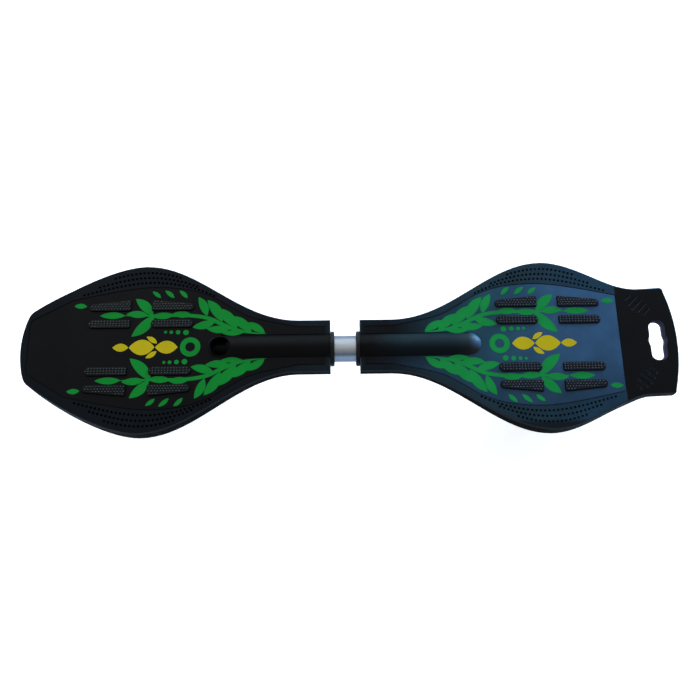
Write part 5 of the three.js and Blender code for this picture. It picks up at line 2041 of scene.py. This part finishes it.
    def wheel_pieces(self) -> list[tuple[Form, str, Finish, str]]:
        """Gives axle, spacers, bearings, tyre and hub, each with its name, finish and body."""
        gap, across, radius = self.board.gap, self.axle_hex, self.axle_radius
        face = self.fork_half + gap
        end = face + self.nut_height
        head = self.hex_nut(across, -end, -face, Axis.Y)
        shank = Form.rod(radius, -face - self.nut_height / 2, face, Axis.Y, self.round_sides)
        thread = self.threaded(radius, face, end + 4 * gap, Axis.Y)
        nut = self.bored(self.hex_nut(across, face, end, Axis.Y), self.bearing_bore, Axis.Y)
        near, far = self.wheel_half + gap, self.fork_half - self.fork_thickness - gap
        stop = self.wheel_half - self.bearing_width - gap
        return [
            (head.joined(shank, thread), "axle_bolt", ZINC, "caster"),
            (nut, "axle_nut", ZINC, "caster"),
            (self.spacer(-far, -near), "left_axle_spacer", ZINC, "caster"),
            (self.spacer(near, far), "right_axle_spacer", ZINC, "caster"),
            (self.spacer(-stop, stop), "bearing_spacer", TUBE, "caster"),
            (self.bearing(-1), "left_bearing", BEARING, "wheel"),
            (self.bearing(1), "right_bearing", BEARING, "wheel"),
            (self.tyre(), "tyre", URETHANE, "wheel"),
            (self.hub(), "hub", HUB, "wheel"),
        ]


def both_halves(one_half: Sequence[tuple[float, float]]) -> list[tuple[float, float]]:
    """Gives a closed profile that is the same on both sides of its middle."""
    return [*one_half, *((radius, -along) for radius, along in reversed(one_half))]


# Studio


@dataclass
class Lamp:
    """A soft box that points at the board."""

    name: str
    place: tuple[float, float, float]
    size: tuple[float, float]
    power: float
    colour: Colour


@dataclass
class Studio:
    """A pale floor, soft boxes and the camera of the photograph."""

    target: Vector = field(default_factory=lambda: Vector((0.0008, -0.00685, 0.112)))
    azimuth: float = math.radians(-1.5)
    elevation: float = math.radians(71)
    roll: float = math.radians(0.76)
    distance: float = 1.121
    focal_px: float = 850.0
    picture_px: float = 700.0
    sensor_mm: float = 36.0
    sun_from: tuple[float, float, float] = (-0.4, 1.2, 1.3)
    sun_spread: float = math.radians(40)
    sun_strength: float = 1.5
    world_colour: Colour = (0.94, 0.97, 1)
    world_strength: float = 0.3
    floor_half: float = 60.0
    floor_colour: Colour = (0.9, 0.9, 0.9)
    floor_glow: float = 0.7
    floor_bounce: Colour = (0.4, 0.41, 0.43)
    lamps: tuple[Lamp, ...] = (
        Lamp("sky_box", (1.72, 1.8, 5.1), (1.4, 1.7), 17.0, (0.62, 0.82, 1.0)),
        Lamp("nose_panel", (-1.7, 0.2, 0.7), (1.6, 0.7), 16.0, (0.66, 0.86, 1.0)),
        Lamp("tail_panel", (1.35, 1.45, 0.6), (1.1, 0.7), 54.0, (0.38, 0.66, 1.0)),
        Lamp("far_panel", (0.0, 1.9, 0.8), (2.4, 0.7), 18.0, (0.6, 0.82, 1.0)),
    )

    def build(self) -> None:
        """Sets up world, floor, lamps and camera."""
        self.build_world()
        self.build_floor()
        self.build_sun()
        for lamp in self.lamps:
            self.build_lamp(lamp)
        self.build_camera()
        bpy.context.scene.view_settings.view_transform = "Standard"

    @staticmethod
    def worked_out(graph: Graph, operation: str, first: Socket | float, second: Socket | float) -> Socket:
        """Gives the result of a sum of two values."""
        node = graph.node("Math")
        node.operation = operation
        graph.feed(node.inputs[0], first)
        graph.feed(node.inputs[1], second)
        return node.outputs["Value"]

    @staticmethod
    def mixed(graph: Graph, share: Socket, first: Socket, second: Socket) -> Socket:
        """Gives the second of two shaders where a share is 1, and the first elsewhere."""
        node = graph.node("MixShader", Fac=share)
        graph.feed(node.inputs[1], first)
        graph.feed(node.inputs[2], second)
        return node.outputs["Shader"]

    def seeing_rays(self, graph: Graph) -> Socket:
        """Marks the rays that see the background: the camera's and those off gloss and through glass.

        Args:
            graph: The nodes of the world or of a material.

        Returns:
            1 for such a ray and 0 for any other.
        """
        path = graph.node("LightPath")
        share = path.outputs["Is Camera Ray"]
        for name in ("Is Glossy Ray", "Is Transmission Ray"):
            share = self.worked_out(graph, "MAXIMUM", share, path.outputs[name])
        return share

    def build_world(self) -> None:
        """Sets a dim world that is white where it is seen."""
        world = bpy.data.worlds.new("studio")
        bpy.context.scene.world = world
        world.use_nodes = True
        graph = Graph(world.node_tree)
        soft = graph.node("Background", Color=self.world_colour, Strength=self.world_strength)
        white = graph.node("Background", Color=(1, 1, 1))
        seen = self.mixed(graph, self.seeing_rays(graph), soft.outputs[0], white.outputs[0])
        graph.feed(world.node_tree.nodes["World Output"].inputs["Surface"], seen)

    def build_floor(self) -> None:
        """Lays the pale floor, which glows where the camera sees it and is clear from below."""
        form = Form()
        bmesh.ops.create_grid(form.mesh, x_segments=1, y_segments=1, size=self.floor_half)
        mesh = bpy.data.meshes.new("floor")
        form.mesh.to_mesh(mesh)
        material = bpy.data.materials.new("pale_floor")
        material.use_nodes = True
        graph, nodes = Graph(material.node_tree), material.node_tree.nodes
        shader = nodes["Principled BSDF"]
        matt = (("Base Color", self.floor_colour), ("Roughness", 0.9), ("Specular IOR Level", 0.1))
        for name, value in matt:
            graph.feed(shader.inputs[name], value)
        direct = graph.node("LightPath").outputs["Is Camera Ray"]
        glow = self.worked_out(graph, "MULTIPLY", direct, self.floor_glow)
        lit = graph.node("AddShader")
        graph.feed(lit.inputs[0], shader.outputs["BSDF"])
        graph.feed(lit.inputs[1], graph.node("Emission", Strength=glow).outputs["Emission"])
        dim = graph.node("BsdfDiffuse", Color=self.floor_bounce).outputs["BSDF"]
        seen = self.mixed(graph, self.seeing_rays(graph), dim, lit.outputs["Shader"])
        below = graph.node("NewGeometry").outputs["Backfacing"]
        faced = self.mixed(graph, below, seen, graph.node("BsdfTransparent").outputs["BSDF"])
        graph.feed(nodes["Material Output"].inputs["Surface"], faced)
        mesh.materials.append(material)
        shown("floor", mesh)

    def build_sun(self) -> None:
        """Adds a wide, even light from above the far side."""
        data = bpy.data.lights.new("even_light", "SUN")
        data.energy = self.sun_strength
        data.angle = self.sun_spread
        shown("even_light", data).rotation_euler = Vector(self.sun_from).to_track_quat("Z", "Y").to_euler()

    def build_lamp(self, lamp: Lamp) -> None:
        """Hangs one soft box.

        Args:
            lamp: Its place, size, power and colour.
        """
        data = bpy.data.lights.new(lamp.name, "AREA")
        data.shape = "RECTANGLE"
        data.size, data.size_y = lamp.size
        data.energy = lamp.power
        data.color = lamp.colour
        holder = shown(lamp.name, data)
        holder.location = lamp.place
        towards = Vector((0, 0, self.target.z)) - Vector(lamp.place)
        holder.rotation_euler = towards.to_track_quat("-Z", "Y").to_euler()

    def build_camera(self) -> None:
        """Places the camera where the photograph was taken from."""
        right = Vector((math.cos(self.azimuth), math.sin(self.azimuth), 0))
        back = Vector((right.y, -right.x, 0)) * math.cos(self.elevation)
        away = back + Vector((0, 0, math.sin(self.elevation)))
        upward = away.cross(right)
        rolled_right = right * math.cos(self.roll) + upward * math.sin(self.roll)
        rolled_up = upward * math.cos(self.roll) - right * math.sin(self.roll)
        turn = Matrix((rolled_right, rolled_up, away)).transposed().to_4x4()
        data = bpy.data.cameras.new("camera")
        data.sensor_width = self.sensor_mm
        data.lens = self.focal_px / self.picture_px * self.sensor_mm
        camera = shown("camera", data)
        camera.matrix_world = Matrix.Translation(self.target + away * self.distance) @ turn
        bpy.context.scene.camera = camera


def main() -> None:
    """Builds the board's pieces around the frame, then the studio."""
    logging.basicConfig(level=logging.INFO, format="%(name)s %(message)s")
    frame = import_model()
    shop = Workshop()
    board = Board()
    for end in End:
        deck = Deck(board, end)
        deck.build(shop)
        Print(deck).build(shop)
    TorsionJoint(board).build(shop)
    for end in End:
        Caster(board, end).build(shop)
    spring = frame["nodes"]["torsion_spring"]
    spring.data.materials.clear()
    spring.data.materials.append(SPRING.material())
    Studio().build()
    log.info("%d pieces made", len(shop.made))


if __name__ == "__main__":
    main()
